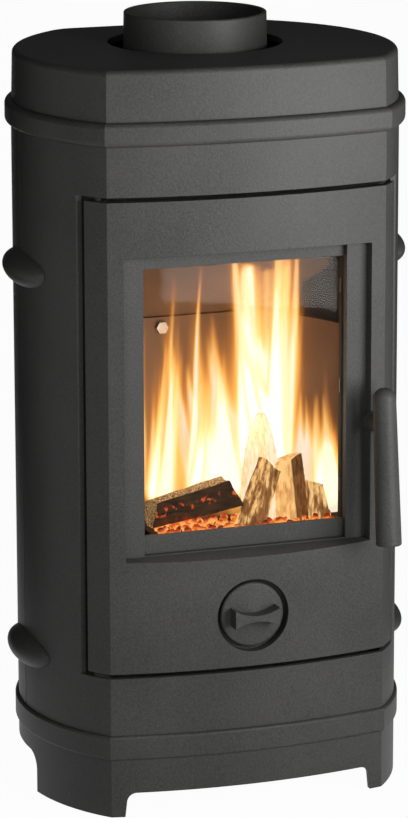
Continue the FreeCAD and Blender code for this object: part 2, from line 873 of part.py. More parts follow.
def make_side_bosses():
    """Four egg-shaped bosses, seated on the drum over the seam bolts."""
    drum = solid(
        "Cylinder", "boss_seat", y=S.drum_y, z=S.plinth_height, turn=Rotation(Vector(0, 0, 1), 90),
        Radius=S.drum_radius + S.running_gap, Height=S.casing_height,
    )
    bosses = []
    for side in sides:
        for z in (boss_low_z, boss_high_z):
            egg = solid(
                "Ellipsoid", "boss_egg", side * (S.drum_radius - S.boss_sunk), S.drum_y, z,
                Rotation(Vector(0, 0, 1), 90 + 90 * side),
                Radius1=S.boss_half_height, Radius2=S.boss_sunk + S.boss_proud, Radius3=S.boss_half_length,
                Angle1=-90.0, Angle2=90.0, Angle3=FULL_TURN,
            )
            bosses.append(boolean("Cut", "boss", egg, drum))
    return group("side_bosses", bosses)


def seam_fasteners():
    bolts, nuts = [], []
    bolt_x = S.drum_radius - S.casing_wall - S.seam_bolt_inset
    front, back = S.drum_y - S.seam_lug_thick, S.drum_y + S.seam_lug_thick
    length = back - front + S.bolt_tail
    for side in sides:
        for z in (boss_low_z, boss_high_z):
            bolts.append(hex_bolt(
                "seam_bolt", side * bolt_x, front, z, ALONG_Y,
                S.seam_bolt_radius, length, S.bolt_head_radius, S.bolt_head_height,
            ))
            nuts.append(ring_nut(
                "seam_nut", side * bolt_x, back, z, ALONG_Y,
                S.seam_bolt_radius + S.running_gap, S.bolt_head_radius, S.bolt_head_height,
            ))
    return [group("casing_bolts", bolts), group("casing_nuts", nuts)]


def make_door_frame():
    made = body("door_frame")
    plate = rectangle(
        sketch(made, "XZ_Plane", -frame_back), -frame_half, frame_half, frame_low, frame_high
    )
    rectangle(plate, -frame_opening_half, frame_opening_half, frame_opening_low, frame_opening_high)
    pad(made, plate, S.frame_thick)
    high = hearth_low - S.seat_gap
    low = high - S.hearth_ledge_depth
    inner, outer = frame_opening_half, frame_opening_half + S.hearth_lug_width
    for left, right in ((-outer, -inner), (inner, outer)):
        block(made, left, right, frame_back, frame_back + S.hearth_ledge_depth, low, high)
    for side in sides:
        for z in (frame_low + S.frame_screw_inset, frame_high - S.frame_screw_inset):
            hole = S.frame_screw_radius + S.running_gap
            drill(made, side * frame_screw_x, z, hole, -frame_reach, frame_back)
    for z in keeper_screw_heights():
        hole = S.keeper_screw_radius + S.running_gap
        drill(made, keeper_x + S.keeper_width / 2, z, hole, -frame_reach, frame_back)
    return made


def make_frame_screws():
    screws = []
    length = S.frame_thick + S.seat_gap + S.frame_lug_thick
    for side in sides:
        for z in (frame_low + S.frame_screw_inset, frame_high - S.frame_screw_inset):
            screws.append(hex_bolt(
                "frame_screw", side * frame_screw_x, -frame_reach, z, ALONG_Y,
                S.frame_screw_radius, length, S.screw_head_radius, S.screw_head_height,
            ))
    return group("frame_screws", screws)


def make_latch_keeper():
    """A hook on the frame with a lip that the latch tongue turns behind."""
    made = body("latch_keeper")
    slot = -(frame_reach + S.tongue_thick + 2 * S.tongue_gap)
    lip, stem = slot - S.keeper_wall, keeper_right - S.keeper_wall
    low, high = latch_z - S.keeper_below, latch_z + S.keeper_above
    hook = polygon(sketch(made, "XY_Plane", low), [
        (keeper_right, -frame_reach), (stem, -frame_reach), (stem, slot),
        (keeper_x, slot), (keeper_x, lip), (keeper_right, lip),
    ])
    pad(made, hook, high - low)
    ear = low - S.keeper_below
    block(made, keeper_x, keeper_right, -frame_reach - S.keeper_wall, -frame_reach, ear, low)
    for z in keeper_screw_heights():
        hole = S.keeper_screw_radius + S.running_gap
        drill(made, keeper_x + S.keeper_width / 2, z, hole, -frame_reach - S.keeper_wall, -frame_reach)
    return made


def keeper_screw_heights():
    ear = latch_z - 2 * S.keeper_below
    return (ear + S.keeper_below / 4, ear + 3 * S.keeper_below / 4)


def make_keeper_screws():
    screws = [
        hex_bolt(
            "keeper_screw", keeper_x + S.keeper_width / 2, -frame_reach - S.keeper_wall, z, ALONG_Y,
            S.keeper_screw_radius, S.keeper_wall + S.frame_thick,
            2 * S.keeper_screw_radius, S.keeper_screw_radius,
        )
        for z in keeper_screw_heights()
    ]
    return group("keeper_screws", screws)


def hinge_pin(low, high):
    return solid(
        "Cylinder", "hinge_pin", -hinge_x, -hinge_reach, low,
        Radius=S.hinge_pin_radius, Height=high - low,
    )


def make_hinge_pins():
    return group("hinge_pins", [
        hinge_pin(opening_low - S.hinge_pin_depth, door_low + S.hinge_pin_depth),
        hinge_pin(door_high - S.hinge_pin_depth, opening_high + S.hinge_pin_depth),
    ])


def make_hinge_washer():
    made = body("hinge_washer", -hinge_x, -hinge_reach)
    ring = circle(sketch(made, "XY_Plane", opening_low), ZERO, ZERO, S.hinge_boss_radius - S.fit_gap)
    circle(ring, ZERO, ZERO, S.hinge_pin_radius + S.seat_gap)
    pad(made, ring, door_low - opening_low - S.seat_gap)
    return made


def collar_bolt_places():
    """Bolt places on the collar's flange, from the flue's axis."""
    turns = [Size(angle, str(angle)) for angle in (30.0, 150.0, 270.0)]
    return [(S.collar_bolt_circle * cosine(turn), S.collar_bolt_circle * sine(turn)) for turn in turns]


def make_top_plate():
    made = body("top_plate")
    plate = outline(sketch(made, "XY_Plane", top_plate_low), -(S.casing_wall + S.fit_gap))
    circle(plate, ZERO, S.flue_y, S.flue_radius - S.flue_stop)
    for x, y in collar_bolt_places():
        circle(plate, x, S.flue_y + y, S.collar_bolt_radius + S.running_gap)
    pad(made, plate, S.top_plate_thick)
    return made


def make_flue_collar():
    made = body("flue_collar", y=S.flue_y)
    flange_top = top_plate_top + S.collar_flange_thick
    outer = S.flue_radius + S.collar_wall
    revolve(made, [
        (S.flue_radius, top_plate_top), (S.collar_flange_radius, top_plate_top),
        (S.collar_flange_radius, flange_top), (outer + S.collar_draft, flange_top),
        (outer, collar_top), (S.flue_radius, collar_top),
    ])
    fillet(made, S.collar_rim_round, lambda e: level(e, collar_top))
    for x, y in collar_bolt_places():
        bore(made, x, y, S.collar_bolt_radius + S.running_gap, top_plate_top, flange_top)
    return made


def make_collar_bolts():
    length = S.collar_flange_thick + S.top_plate_thick
    bolts = [
        hex_bolt(
            "collar_bolt", x, S.flue_y + y, top_plate_top + S.collar_flange_thick, DOWN,
            S.collar_bolt_radius, length, S.collar_head_radius, S.collar_bolt_radius,
        )
        for x, y in collar_bolt_places()
    ]
    return group("collar_bolts", bolts)


def make_lid():
    made = body("lid")
    skirt = outline(sketch(made, "XY_Plane", casing_top))
    feature(made, "Pad", skirt, Length=S.lid_height, TaperAngle=-S.lid_taper)
    fillet(made, S.lid_round, lambda e: level(e, lid_top))
    pad(made, outline(sketch(made, "XY_Plane", casing_top), S.upper_band_proud), S.upper_band_height)
    band_top = casing_top + S.upper_band_height
    fillet(
        made, S.upper_band_round,
        lambda e: (level(e, casing_top) or level(e, band_top)) and outside(e, S.upper_band_proud),
    )
    hollow = outline(sketch(made, "XY_Plane", casing_top), -(S.lid_wall - S.fit_gap))
    pocket(made, hollow, S.lid_height - S.lid_top_thick, reverse=True)
    bore(made, ZERO, S.flue_y, S.lid_hole_radius, casing_top, lid_top)
    return made


def make_baffle():
    """A sloping plate that lies on the back lining and two pegs, and sends the smoke forward."""
    slab = body("baffle_slab", x=-S.drum_radius)
    front, back = -baffle_front_y, baffle_back_y
    upright_thick = S.baffle_thick * root(1 + baffle_slope() * baffle_slope())
    profile = polygon(sketch(slab, "YZ_Plane"), [
        (front, baffle_under(front)), (back, baffle_under(back)),
        (back, baffle_under(back) + upright_thick), (front, baffle_under(front) + upright_thick),
    ])
    pad(slab, profile, 2 * S.drum_radius)
    plan = solid(
        "Cylinder", "baffle_plan", y=S.drum_y, z=S.plinth_height,
        Radius=S.drum_radius - S.baffle_inset, Height=S.casing_height,
    )
    return boolean("Common", "baffle", slab, plan)


def lining(label):
    """A plate that follows the inside of the drum, standing on the hearth."""
    made = body(label)
    plate = outline(sketch(made, "XY_Plane", hearth_top), lining_grow)
    outline(plate, lining_grow - S.lining_thick)
    pad(made, plate, lining_top - hearth_top)
    return made


def make_linings():
    wide = S.drum_radius + S.overrun
    heights = (hearth_top, lining_top)
    made = []
    for label, left, right in (("left_lining", ZERO, wide), ("right_lining", -wide, ZERO)):
        plate = lining(label)
        cut_block(plate, left, right, -wide, wide, *heights)
        cut_block(plate, -wide, wide, lining_split, wide, *heights)
        cut_block(plate, -wide, wide, -wide, -lining_front, *heights)
        made.append(plate)
    plate = lining("back_lining")
    cut_block(plate, -wide, wide, -wide, lining_split + S.seat_gap, *heights)
    hole = S.seam_bolt_radius + S.running_gap
    drill(plate, ZERO, lining_top - S.lining_bolt_drop, hole, lining_back, lining_back + S.lining_thick)
    return made + [plate]


def make_lining_bolt():
    """The bolt that holds the top of the back lining to its boss on the rear casting."""
    return hex_bolt(
        "lining_bolt", ZERO, lining_back, lining_top - S.lining_bolt_drop, ALONG_Y,
        S.seam_bolt_radius, S.lining_thick + S.lining_gap - S.seat_gap,
        S.bolt_head_radius, S.bolt_head_height,
    )


def make_hearth_plate():
    made = body("hearth_plate")
    plate = outline(sketch(made, "XY_Plane", hearth_low), -(S.casing_wall + 2 * S.fit_gap))
    rectangle(plate, -S.grate_half, S.grate_half, -grate_front, grate_back)
    pad(made, plate, S.hearth_thick)
    wide = S.drum_radius + S.overrun
    cut_block(made, -wide, wide, -wide, frame_back + S.seat_gap, hearth_low, hearth_top)
    half = S.grate_half + S.grate_rebate
    cut_block(
        made, -half, half, -grate_front - S.grate_rebate, grate_back + S.grate_rebate,
        hearth_top - S.grate_sunk, hearth_top,
    )
    return made


def make_grate():
    """A slotted bed that lies in the hearth plate's rebate."""
    made = body("grate")
    half = S.grate_half + S.grate_rebate - S.fit_gap
    front = grate_front + S.grate_rebate - S.fit_gap
    back = grate_back + S.grate_rebate - S.fit_gap
    bed = rectangle(sketch(made, "XY_Plane", hearth_top - S.grate_sunk), -half, half, -front, back)
    count = int((half - S.grate_border).value / S.grate_pitch.value)
    for step in range(-count, count + 1):
        middle = step * S.grate_pitch
        left, right = middle - S.grate_slot / 2, middle + S.grate_slot / 2
        rectangle(bed, left, right, S.grate_border - front, back - S.grate_border)
    pad(made, bed, S.grate_thick)
    return made


def make_ash_pan():
    made = body("ash_pan")
    high = pan_low + S.pan_height
    block(made, -pan_half, pan_half, -pan_front, pan_back, pan_low, high)
    inner = pan_half - S.pan_sheet
    cut_block(
        made, -inner, inner, S.pan_sheet - pan_front, pan_back - S.pan_sheet,
        pan_low + S.pan_sheet, high,
    )
    pull = high - S.pan_height / 2
    block(
        made, -S.pan_pull_half, S.pan_pull_half, -pan_front - S.pan_pull_reach, -pan_front,
        pull, pull + S.pan_pull_thick,
    )
    return made


def make_pan_rails():
    rails = []
    low, high = bottom_plate_top, pan_low - S.seat_gap
    for side in sides:
        rail = body("pan_rail")
        web, edge = side * pan_half, side * (pan_half - S.rail_width)
        inner = side * (pan_half - S.rail_sheet)
        profile = polygon(sketch(rail, "XZ_Plane", pan_front), [
            (web, low), (edge, low), (edge, low + S.rail_sheet), (inner, low + S.rail_sheet),
            (inner, high - S.rail_sheet), (edge, high - S.rail_sheet), (edge, high), (web, high),
        ])
        pad(rail, profile, pan_front + pan_back, reverse=True)
        rails.append(rail)
    return group("pan_rails", rails)


def latch_face():
    """Where the latch boss ends, clear of the bowed face all round."""
    return front_centre - chord(S.front_radius, latch_x - S.latch_boss_radius)


def port_places():
    """Air ports in two groups of three, from the knob's axis."""
    steps = [Size(base, str(base)) + step * S.port_step for base in (0.0, 180.0) for step in (-1, 0, 1)]
    return [(S.port_circle * cosine(turn), S.port_circle * sine(turn)) for turn in steps]


def make_door():
    """Bowed skin with wings round both creases, seal rib, window well, hinge, latch and air bosses."""
    made = body("door")
    wide = S.drum_radius + S.overrun
    skin = outline(sketch(made, "XY_Plane", door_low))
    outline(skin, -S.door_wall)
    pad(made, skin, door_high - door_low)
    cut_block(made, -wide, wide, -wing_reach, wide, door_low, door_high)
    into_skin = -S.door_wall / 2
    rib = bowed_strip(sketch(made, "XY_Plane", rib_low), rib_half, -rib_reach, into_skin)
    pad(made, rib, rib_high - rib_low)
    inner = rib_half - S.rib_width
    hollow_low, hollow_high = rib_low + S.rib_width, rib_high - S.rib_width
    hollow = bowed_strip(sketch(made, "XY_Plane", hollow_low), inner, -rib_reach, -S.door_wall)
    pocket(made, hollow, hollow_high - hollow_low, reverse=True)
    well_half = recess_half + S.well_margin
    well_low, well_high = recess_low - S.well_margin, recess_high + S.well_margin
    well = bowed_strip(sketch(made, "XY_Plane", well_low), well_half, recess_back, into_skin)
    pad(made, well, well_high - well_low)
    hinge_spans = (
        (door_low, door_low + S.hinge_boss_height),
        (door_high - S.hinge_boss_height, door_high),
    )
    for low, high in hinge_spans:
        post(made, -hinge_x, -hinge_reach, S.hinge_boss_radius, low, high)
    knob_boss = S.knob_pocket_radius + S.knob_boss_wall
    stub(made, ZERO, knob_z, knob_boss, knob_floor, knob_inner)
    stub(made, ZERO, knob_z, knob_boss, knob_floor - S.door_wall, knob_floor)
    floor = rectangle(
        sketch(made, "XZ_Plane", recess_reach), -recess_half, recess_half, recess_low, recess_high
    )
    flared = recess_half + S.recess_flare
    mouth = rectangle(
        sketch(made, "XZ_Plane", front_reach + S.recess_flare), -flared, flared,
        recess_low - S.recess_flare, recess_high + S.recess_flare,
    )
    feature(made, "SubtractiveLoft", floor, Sections=[mouth], Ruled=True)
    stub(made, latch_x, latch_z, S.latch_boss_radius, latch_face(), -rib_reach)
    window = rectangle(
        sketch(made, "XZ_Plane", recess_reach), -window_half, window_half,
        recess_low + S.window_rim, recess_high - S.window_rim,
    )
    pocket(made, window, S.recess_floor)
    middle = rib_half - S.rib_width / 2
    outer, inner = middle + S.groove_width / 2, middle - S.groove_width / 2
    low, high = rib_low + S.rib_width / 2, rib_high - S.rib_width / 2
    groove = rectangle(
        sketch(made, "XZ_Plane", rib_reach + S.groove_depth), -outer, outer,
        low - S.groove_width / 2, high + S.groove_width / 2,
    )
    rectangle(groove, -inner, inner, low + S.groove_width / 2, high - S.groove_width / 2)
    pocket(made, groove, S.groove_depth)
    drill(made, latch_x, latch_z, S.spindle_radius + S.running_gap, latch_face(), -rib_reach)
    for low, high in hinge_spans:
        bore(made, -hinge_x, -hinge_reach, S.hinge_pin_radius + S.running_gap, low, high)
    drill(made, ZERO, knob_z, S.knob_pocket_radius, -front_reach, knob_floor)
    spindle_hole = S.air_spindle_radius + S.running_gap
    ports = circle(sketch(made, "XZ_Plane", -knob_floor), ZERO, knob_z, spindle_hole)
    for x, z in port_places():
        circle(ports, x, knob_z + z, S.port_radius)
    pocket(made, ports, S.knob_floor_thick)
    blind = recess_back - S.recess_floor / 2 - S.fit_gap
    for x, z in glass_screw_places():
        drill(made, x, z, S.clip_screw_radius + S.running_gap, blind, recess_back)
    return made


def make_door_seal():
    """The rope in the rib's groove, standing proud to meet the door frame."""
    made = body("door_seal")
    middle = rib_half - S.rib_width / 2
    half = S.groove_width / 2 - S.seat_gap
    low, high = rib_low + S.rib_width / 2, rib_high - S.rib_width / 2
    back = -frame_reach - S.seat_gap
    front = -rib_reach - S.groove_depth + S.seat_gap
    rope = rectangle(sketch(made, "XZ_Plane", -back), -middle - half, middle + half, low - half, high + half)
    rectangle(rope, half - middle, middle - half, low + half, high - half)
    pad(made, rope, back - front)
    return made


def glass_screw_places():
    """Screws that hold the glass frame to the window well, outside the pane."""
    x = clip_screw_x()
    low, high = recess_low + S.glass_screw_inset, recess_high - S.glass_screw_inset
    return [(side * x, z) for side in sides for z in (low, high)]


def clip_screw_x():
    return glass_half + S.fit_gap + S.clip_sheet + S.clip_head_radius


def clip_heights():
    middle = (sight_low + sight_high) / 2
    pitch = CLIP_SHARE * (sight_high - sight_low)
    return [middle + step * pitch for step in (-1, 0, 1)]


def make_glass_frame():
    """The strip above the pane and the sill below it, on one frame behind the window well."""
    made = body("glass_frame")
    back = glass_frame_front + S.glass_frame_thick
    frame = rectangle(
        sketch(made, "XZ_Plane", -back), -glass_frame_half, glass_frame_half,
        recess_low - S.glass_frame_margin, recess_high + S.glass_frame_margin,
    )
    rectangle(frame, -sight_half, sight_half, sight_low, sight_high)
    for x, z in glass_screw_places() + clip_screw_places():
        circle(frame, x, z, S.clip_screw_radius + S.running_gap)
    pad(made, frame, S.glass_frame_thick)
    return made


def clip_screw_places():
    return [(side * clip_screw_x(), z) for side in sides for z in clip_heights()]


def make_glass_frame_screws():
    back = glass_frame_front + S.glass_frame_thick
    length = back - recess_back + S.recess_floor / 2
    screws = [
        hex_bolt(
            "glass_frame_screw", x, back, z, AGAINST_Y,
            S.clip_screw_radius, length, S.clip_head_radius, S.clip_head_height,
        )
        for x, z in glass_screw_places()
    ]
    return group("glass_frame_screws", screws)


def pane(label, front, thick, hollow):
    """A flat pane or gasket behind the glass frame's opening."""
    made = body(label)
    low, high = sight_low - S.glass_margin, sight_high + S.glass_margin
    profile = rectangle(sketch(made, "XZ_Plane", -(front + thick)), -glass_half, glass_half, low, high)
    if hollow:
        inner = glass_half - hollow
        rectangle(profile, -inner, inner, low + hollow, high - hollow)
    pad(made, profile, thick)
    return made


def make_glass_clips():
    clips = []
    riser = glass_half + S.fit_gap
    foot, foot_top = gasket_front, gasket_front + S.clip_sheet
    tab, tab_top = glass_back + S.seat_gap, glass_back + S.seat_gap + S.clip_sheet
    profile = [
        (riser + S.clip_foot, foot), (riser + S.clip_foot, foot_top), (riser + S.clip_sheet, foot_top),
        (riser + S.clip_sheet, tab_top), (glass_half - S.clip_grip, tab_top),
        (glass_half - S.clip_grip, tab), (riser, tab), (riser, foot),
    ]
    for side in sides:
        for z in clip_heights():
            clip = body("glass_clip")
            pad(clip, polygon(sketch(clip, "XY_Plane", z - S.clip_height / 2),
                              [(side * x, y) for x, y in profile]), S.clip_height)
            drill(clip, side * clip_screw_x(), z, S.clip_screw_radius + S.running_gap, foot, foot_top)
            clips.append(clip)
    return group("glass_clips", clips)


def make_clip_screws():
    top = gasket_front + S.clip_sheet
    screws = [
        hex_bolt(
            "clip_screw", x, top, z, AGAINST_Y,
            S.clip_screw_radius, S.clip_sheet + S.glass_frame_thick, S.clip_head_radius - S.running_gap,
            S.clip_head_height,
        )
        for x, z in clip_screw_places()
    ]
    return group("clip_screws", screws)


def grip_axis_y():
    return latch_face() - S.grip_standoff


def make_handle_grip():
    """A tapered round bar that hangs from its neck and stands out further at its lower end."""
    made = body("handle_grip", x=latch_x, z=latch_z)
    profile = sketch(made, "YZ_Plane")
    tilt = Rotation(Vector(0, 0, -1), S.grip_tilt.value)
    profile.AttachmentOffset = Placement(Vector(grip_axis_y().value, 0, 0), tilt)
    bind(profile, "AttachmentOffset.Base.x", grip_axis_y())
    bind(profile, "AttachmentOffset.Rotation.Angle", S.grip_tilt)
    polygon(profile, [
        (ZERO, -S.grip_down), (S.grip_end_radius, -S.grip_down),
        (S.grip_top_radius, S.grip_up), (ZERO, S.grip_up),
    ])
    feature(made, "Revolution", profile, ReferenceAxis=(profile, ["V_Axis"]), Angle=FULL_TURN)
    doc.recompute()
    fillet(made, S.grip_top_radius * DOME_SHARE, lambda e: e.BoundBox.ZMin > 0 and e.Closed)
    fillet(made, S.grip_end_round, lambda e: e.BoundBox.ZMax < -S.grip_up.value and e.Closed)
    neck_end = latch_face() - S.seat_gap
    stub(made, ZERO, ZERO, S.grip_neck_radius, grip_axis_y(), neck_end)
    drill(made, ZERO, ZERO, S.spindle_radius + S.running_gap, grip_axis_y(), neck_end)
    bore(
        made, ZERO, neck_end - S.grip_pin_inset, S.grip_pin_radius + S.running_gap,
        -S.grip_neck_radius, S.grip_neck_radius,
    )
    return made


def make_handle_spindle():
    made = body("handle_spindle", x=latch_x, z=latch_z)
    end = -frame_reach - S.tongue_gap
    stub(made, ZERO, ZERO, S.spindle_radius, grip_axis_y() + S.seat_gap, end)
    pin_y = latch_face() - S.seat_gap - S.grip_pin_inset
    bore(made, ZERO, pin_y, S.grip_pin_radius + S.running_gap, -S.spindle_radius, S.spindle_radius)
    return made


def make_grip_pin():
    pin_y = latch_face() - S.seat_gap - S.grip_pin_inset
    return solid(
        "Cylinder", "grip_pin", latch_x, pin_y, latch_z - S.grip_neck_radius + S.fit_gap,
        Radius=S.grip_pin_radius, Height=2 * (S.grip_neck_radius - S.fit_gap),
    )


def make_latch_tongue():
    raised = Rotation(Vector(0, -1, 0), S.tongue_angle.value)
    made = body("latch_tongue", x=latch_x, z=latch_z, turn=raised)
    bind(made, "Placement.Rotation.Angle", S.tongue_angle)
    back = -frame_reach - S.tongue_gap
    front = back - S.tongue_thick
    stub(made, ZERO, ZERO, S.tongue_hub, front, back)
    block(made, ZERO, tongue_length, front, back, -S.tongue_half, S.tongue_half)
    fillet(made, S.tongue_half / 2, lambda e: e.BoundBox.XMin > tongue_length.value - TOUCH
           and e.BoundBox.ZLength < TOUCH)
    drill(made, ZERO, ZERO, S.spindle_radius + S.running_gap, front, back)
    return made


def make_air_knob():
    """A shallow domed disc in the door's pocket with a waisted grip across it."""
    made = body("air_knob", y=knob_floor, z=knob_z, turn=AGAINST_Y)
    revolve(made, [
        (ZERO, S.fit_gap), (S.knob_radius, S.fit_gap), (S.knob_radius, S.knob_edge),
        (ZERO, S.knob_edge + S.knob_dome),
    ])
    fillet(made, S.knob_round, lambda e: level(e, S.knob_edge))
    grip = sketch(made, "XY_Plane", S.knob_edge)
    half, end, waist = S.knob_grip_half, S.knob_grip_end, S.knob_grip_waist
    hollow = end - waist
    bend = (half * half + hollow * hollow) / (2 * hollow)
    points = [Vector(x * half.value, y * end.value, 0) for x, y in ((-1, -1), (1, -1), (1, 1), (-1, 1))]
    low_waist, high_waist = Vector(0, -waist.value, 0), Vector(0, waist.value, 0)
    grip.addGeometry(
        [
            Part.Arc(points[0], low_waist, points[1]),
            Part.LineSegment(points[1], points[2]),
            Part.Arc(points[2], high_waist, points[3]),
            Part.LineSegment(points[3], points[0]),
        ],
        False,
    )
    starts = [2 if (grip.getPoint(geo, 1) - points[geo]).Length > TOUCH else 1 for geo in range(4)]
    rules = []
    for geo, (x, y) in enumerate(((-half, -end), (half, -end), (half, end), (-half, end))):
        rules += [("Coincident", geo - 1 if geo else 3, 3 - starts[geo - 1], geo, starts[geo])]
        rules += put(geo, starts[geo], x, y)
    constrain(grip, rules + [("Radius", 0, bend), ("Radius", 2, bend)])
    pad(made, grip, S.knob_pocket_depth + S.knob_grip_proud - S.knob_edge)
    bore(made, ZERO, ZERO, S.air_spindle_radius + S.running_gap, S.fit_gap, S.knob_edge)
    return made


def make_air_spindle():
    made = body("air_spindle", z=knob_z)
    end = knob_inner + S.seat_gap + S.shutter_thick + S.shutter_nut_height
    stub(made, ZERO, ZERO, S.air_spindle_radius, knob_floor - S.knob_edge, end)
    return made


def make_air_shutter():
    made = body("air_shutter", z=knob_z)
    front = knob_inner + S.seat_gap
    disc = circle(sketch(made, "XZ_Plane", -(front + S.shutter_thick)), ZERO, ZERO, S.shutter_radius)
    circle(disc, ZERO, ZERO, S.air_spindle_radius + S.running_gap)
    for x, z in port_places():
        circle(disc, x, z, S.port_radius)
    pad(made, disc, S.shutter_thick)
    return made


def make_shutter_nut():
    start = knob_inner + S.seat_gap + S.shutter_thick
    return ring_nut(
        "shutter_nut", ZERO, start, knob_z, ALONG_Y,
        S.air_spindle_radius + S.running_gap, S.shutter_nut_radius, S.shutter_nut_height,
    )


SUB_PARTS = [
    make_plinth(),
    make_bottom_plate(),
    make_front_casting(),
    make_rear_casting(),
    make_side_bosses(),
    *seam_fasteners(),
    make_door_frame(),
    make_frame_screws(),
    make_latch_keeper(),
    make_keeper_screws(),
    make_hinge_pins(),
    make_hinge_washer(),
    make_top_plate(),
    make_flue_collar(),
    make_collar_bolts(),
    make_lid(),
    make_baffle(),
    *make_linings(),
    make_lining_bolt(),
    make_hearth_plate(),
    make_grate(),
    make_ash_pan(),
    make_pan_rails(),
    make_door(),
    make_door_seal(),
    make_glass_frame(),
    make_glass_frame_screws(),
    pane("glass_gasket", gasket_front, S.gasket_thick, S.gasket_width),
    pane("glass", glass_front, S.glass_thick, None),
    make_glass_clips(),
    make_clip_screws(),
    make_handle_grip(),
    make_handle_spindle(),
    make_grip_pin(),
    make_latch_tongue(),
    make_air_knob(),
    make_air_spindle(),
    make_air_shutter(),
    make_shutter_nut(),
]

doc.recompute()
failed = [thing.Label for thing in doc.Objects if {"Invalid", "Error"} & set(thing.State)]
for thing in SUB_PARTS:
    if thing.Shape.isNull() or not thing.Shape.isValid() or not thing.Shape.Solids:
        failed.append(thing.Label)
if failed:
    raise ValueError(f"failed objects: {failed}")

os.makedirs("parts", exist_ok=True)
for thing in SUB_PARTS:
    thing.Shape.exportStep(f"parts/{thing.Label}.step")
    box = thing.Shape.BoundBox
    print(f"{thing.Label}: {len(thing.Shape.Solids)} solids, {thing.Shape.Volume / 1000:.1f} cm3, "
          f"x {box.XMin:.1f} {box.XMax:.1f} y {box.YMin:.1f} {box.YMax:.1f} z {box.ZMin:.1f} {box.ZMax:.1f}")
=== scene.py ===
# %% [markdown]
# # A cast iron wood stove, dressed in Blender
# The stove's iron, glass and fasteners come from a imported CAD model, which is loaded as a fixed frame.
# This file gives every surface its finish, weaves the rope seals and lights a fire on the grate.
# Lengths are metres in the CAD model's own frame, except where a cell says millimetres:
# the floor is at z = 0 and the door faces -Y.

# %% Load the stove
import json
import math
import random

import bmesh
import bpy
import numpy as np
from mathutils import Matrix, Vector, noise


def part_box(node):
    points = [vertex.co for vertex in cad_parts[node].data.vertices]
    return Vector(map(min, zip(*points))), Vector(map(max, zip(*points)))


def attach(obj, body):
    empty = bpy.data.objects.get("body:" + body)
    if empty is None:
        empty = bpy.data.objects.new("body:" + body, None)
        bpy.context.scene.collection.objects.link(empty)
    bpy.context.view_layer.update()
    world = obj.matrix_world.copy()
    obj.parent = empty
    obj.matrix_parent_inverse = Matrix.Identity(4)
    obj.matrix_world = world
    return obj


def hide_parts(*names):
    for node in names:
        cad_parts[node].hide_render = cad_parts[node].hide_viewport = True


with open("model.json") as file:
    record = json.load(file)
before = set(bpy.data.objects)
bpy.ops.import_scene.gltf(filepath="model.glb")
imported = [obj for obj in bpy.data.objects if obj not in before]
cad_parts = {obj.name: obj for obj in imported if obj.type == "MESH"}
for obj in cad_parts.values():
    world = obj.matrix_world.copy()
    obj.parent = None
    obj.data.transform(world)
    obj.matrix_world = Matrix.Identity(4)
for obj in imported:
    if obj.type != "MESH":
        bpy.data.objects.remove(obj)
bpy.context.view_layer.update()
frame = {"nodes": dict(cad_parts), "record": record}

stove = frame["nodes"]
MM = 0.001
WHITE, BLACK = (1, 1, 1), (0, 0, 0)

# %% [markdown]
# ## Camera
# The photograph was taken from the viewer's left, a little above the lid, through a long lens.
# The place and lens were found by fitting the drum's edges, so the camera is set by those few numbers.
# The sensor's 36 mm lie along the picture's long side, because the picture is upright.

# %% Stand the camera where the photographer stood
CAMERA_PLACE = Vector((-1.43989, -4.20135, 1.51083))
CAMERA_TURN = math.radians(18.85)
CAMERA_DIP = math.radians(13.70)
CAMERA_ROLL = math.radians(0.13)
LENS_MM = 176.25

ahead = Vector((
    math.sin(CAMERA_TURN) * math.cos(CAMERA_DIP),
    math.cos(CAMERA_TURN) * math.cos(CAMERA_DIP),
    -math.sin(CAMERA_DIP),
))
camera = bpy.data.objects.new("photo_camera", bpy.data.cameras.new("photo_camera"))
camera.data.lens = LENS_MM
camera.location = CAMERA_PLACE
camera.rotation_mode = "QUATERNION"
camera.rotation_quaternion = ahead.to_track_quat("-Z", "Y")
camera.rotation_quaternion.rotate(Matrix.Rotation(CAMERA_ROLL, 3, ahead))
bpy.context.scene.collection.objects.link(camera)
bpy.context.scene.camera = camera
bpy.context.scene.view_settings.view_transform = "Standard"
print("camera", tuple(round(c, 3) for c in camera.location), "lens", LENS_MM)

# %% [markdown]
# ## Writing shaders as sums
# A finish is a tree of nodes, and most of its nodes only add or multiply numbers.
# `Wire` wraps an output socket, so that `1 - mask` or `grain * 0.2` adds the Math nodes by itself.
# `Board` is any node tree: its `node` method adds a node from its type, settings and sockets.
# `Finish` is the tree of one material, with a few helpers for ramps, noises and bumps.

# %% A socket that can be used in sums
class Wire:
    """An output socket of a node tree that takes part in Python sums."""

    def __init__(self, board, socket):
        self.board = board
        self.socket = socket

    def __add__(self, other):
        return self.board.number("ADD", self, other)

    def __mul__(self, other):
        return self.board.number("MULTIPLY", self, other)

    def __truediv__(self, other):
        return self.board.number("DIVIDE", self, other)

    def __rsub__(self, other):
        return self.board.number("SUBTRACT", other, self)

    __radd__ = __add__
    __rmul__ = __mul__

    def either(self, other):
        """The larger of two masks."""
        return self.board.number("MAXIMUM", self, other)

    def between(self, low, high):
        """0 at low, 1 at high, with soft ends."""
        settings = {"interpolation_type": "SMOOTHSTEP"}
        sockets = {"Value": self, "From Min": low, "From Max": high}
        return self.board.node("ShaderNodeMapRange", settings, sockets)["Result"]


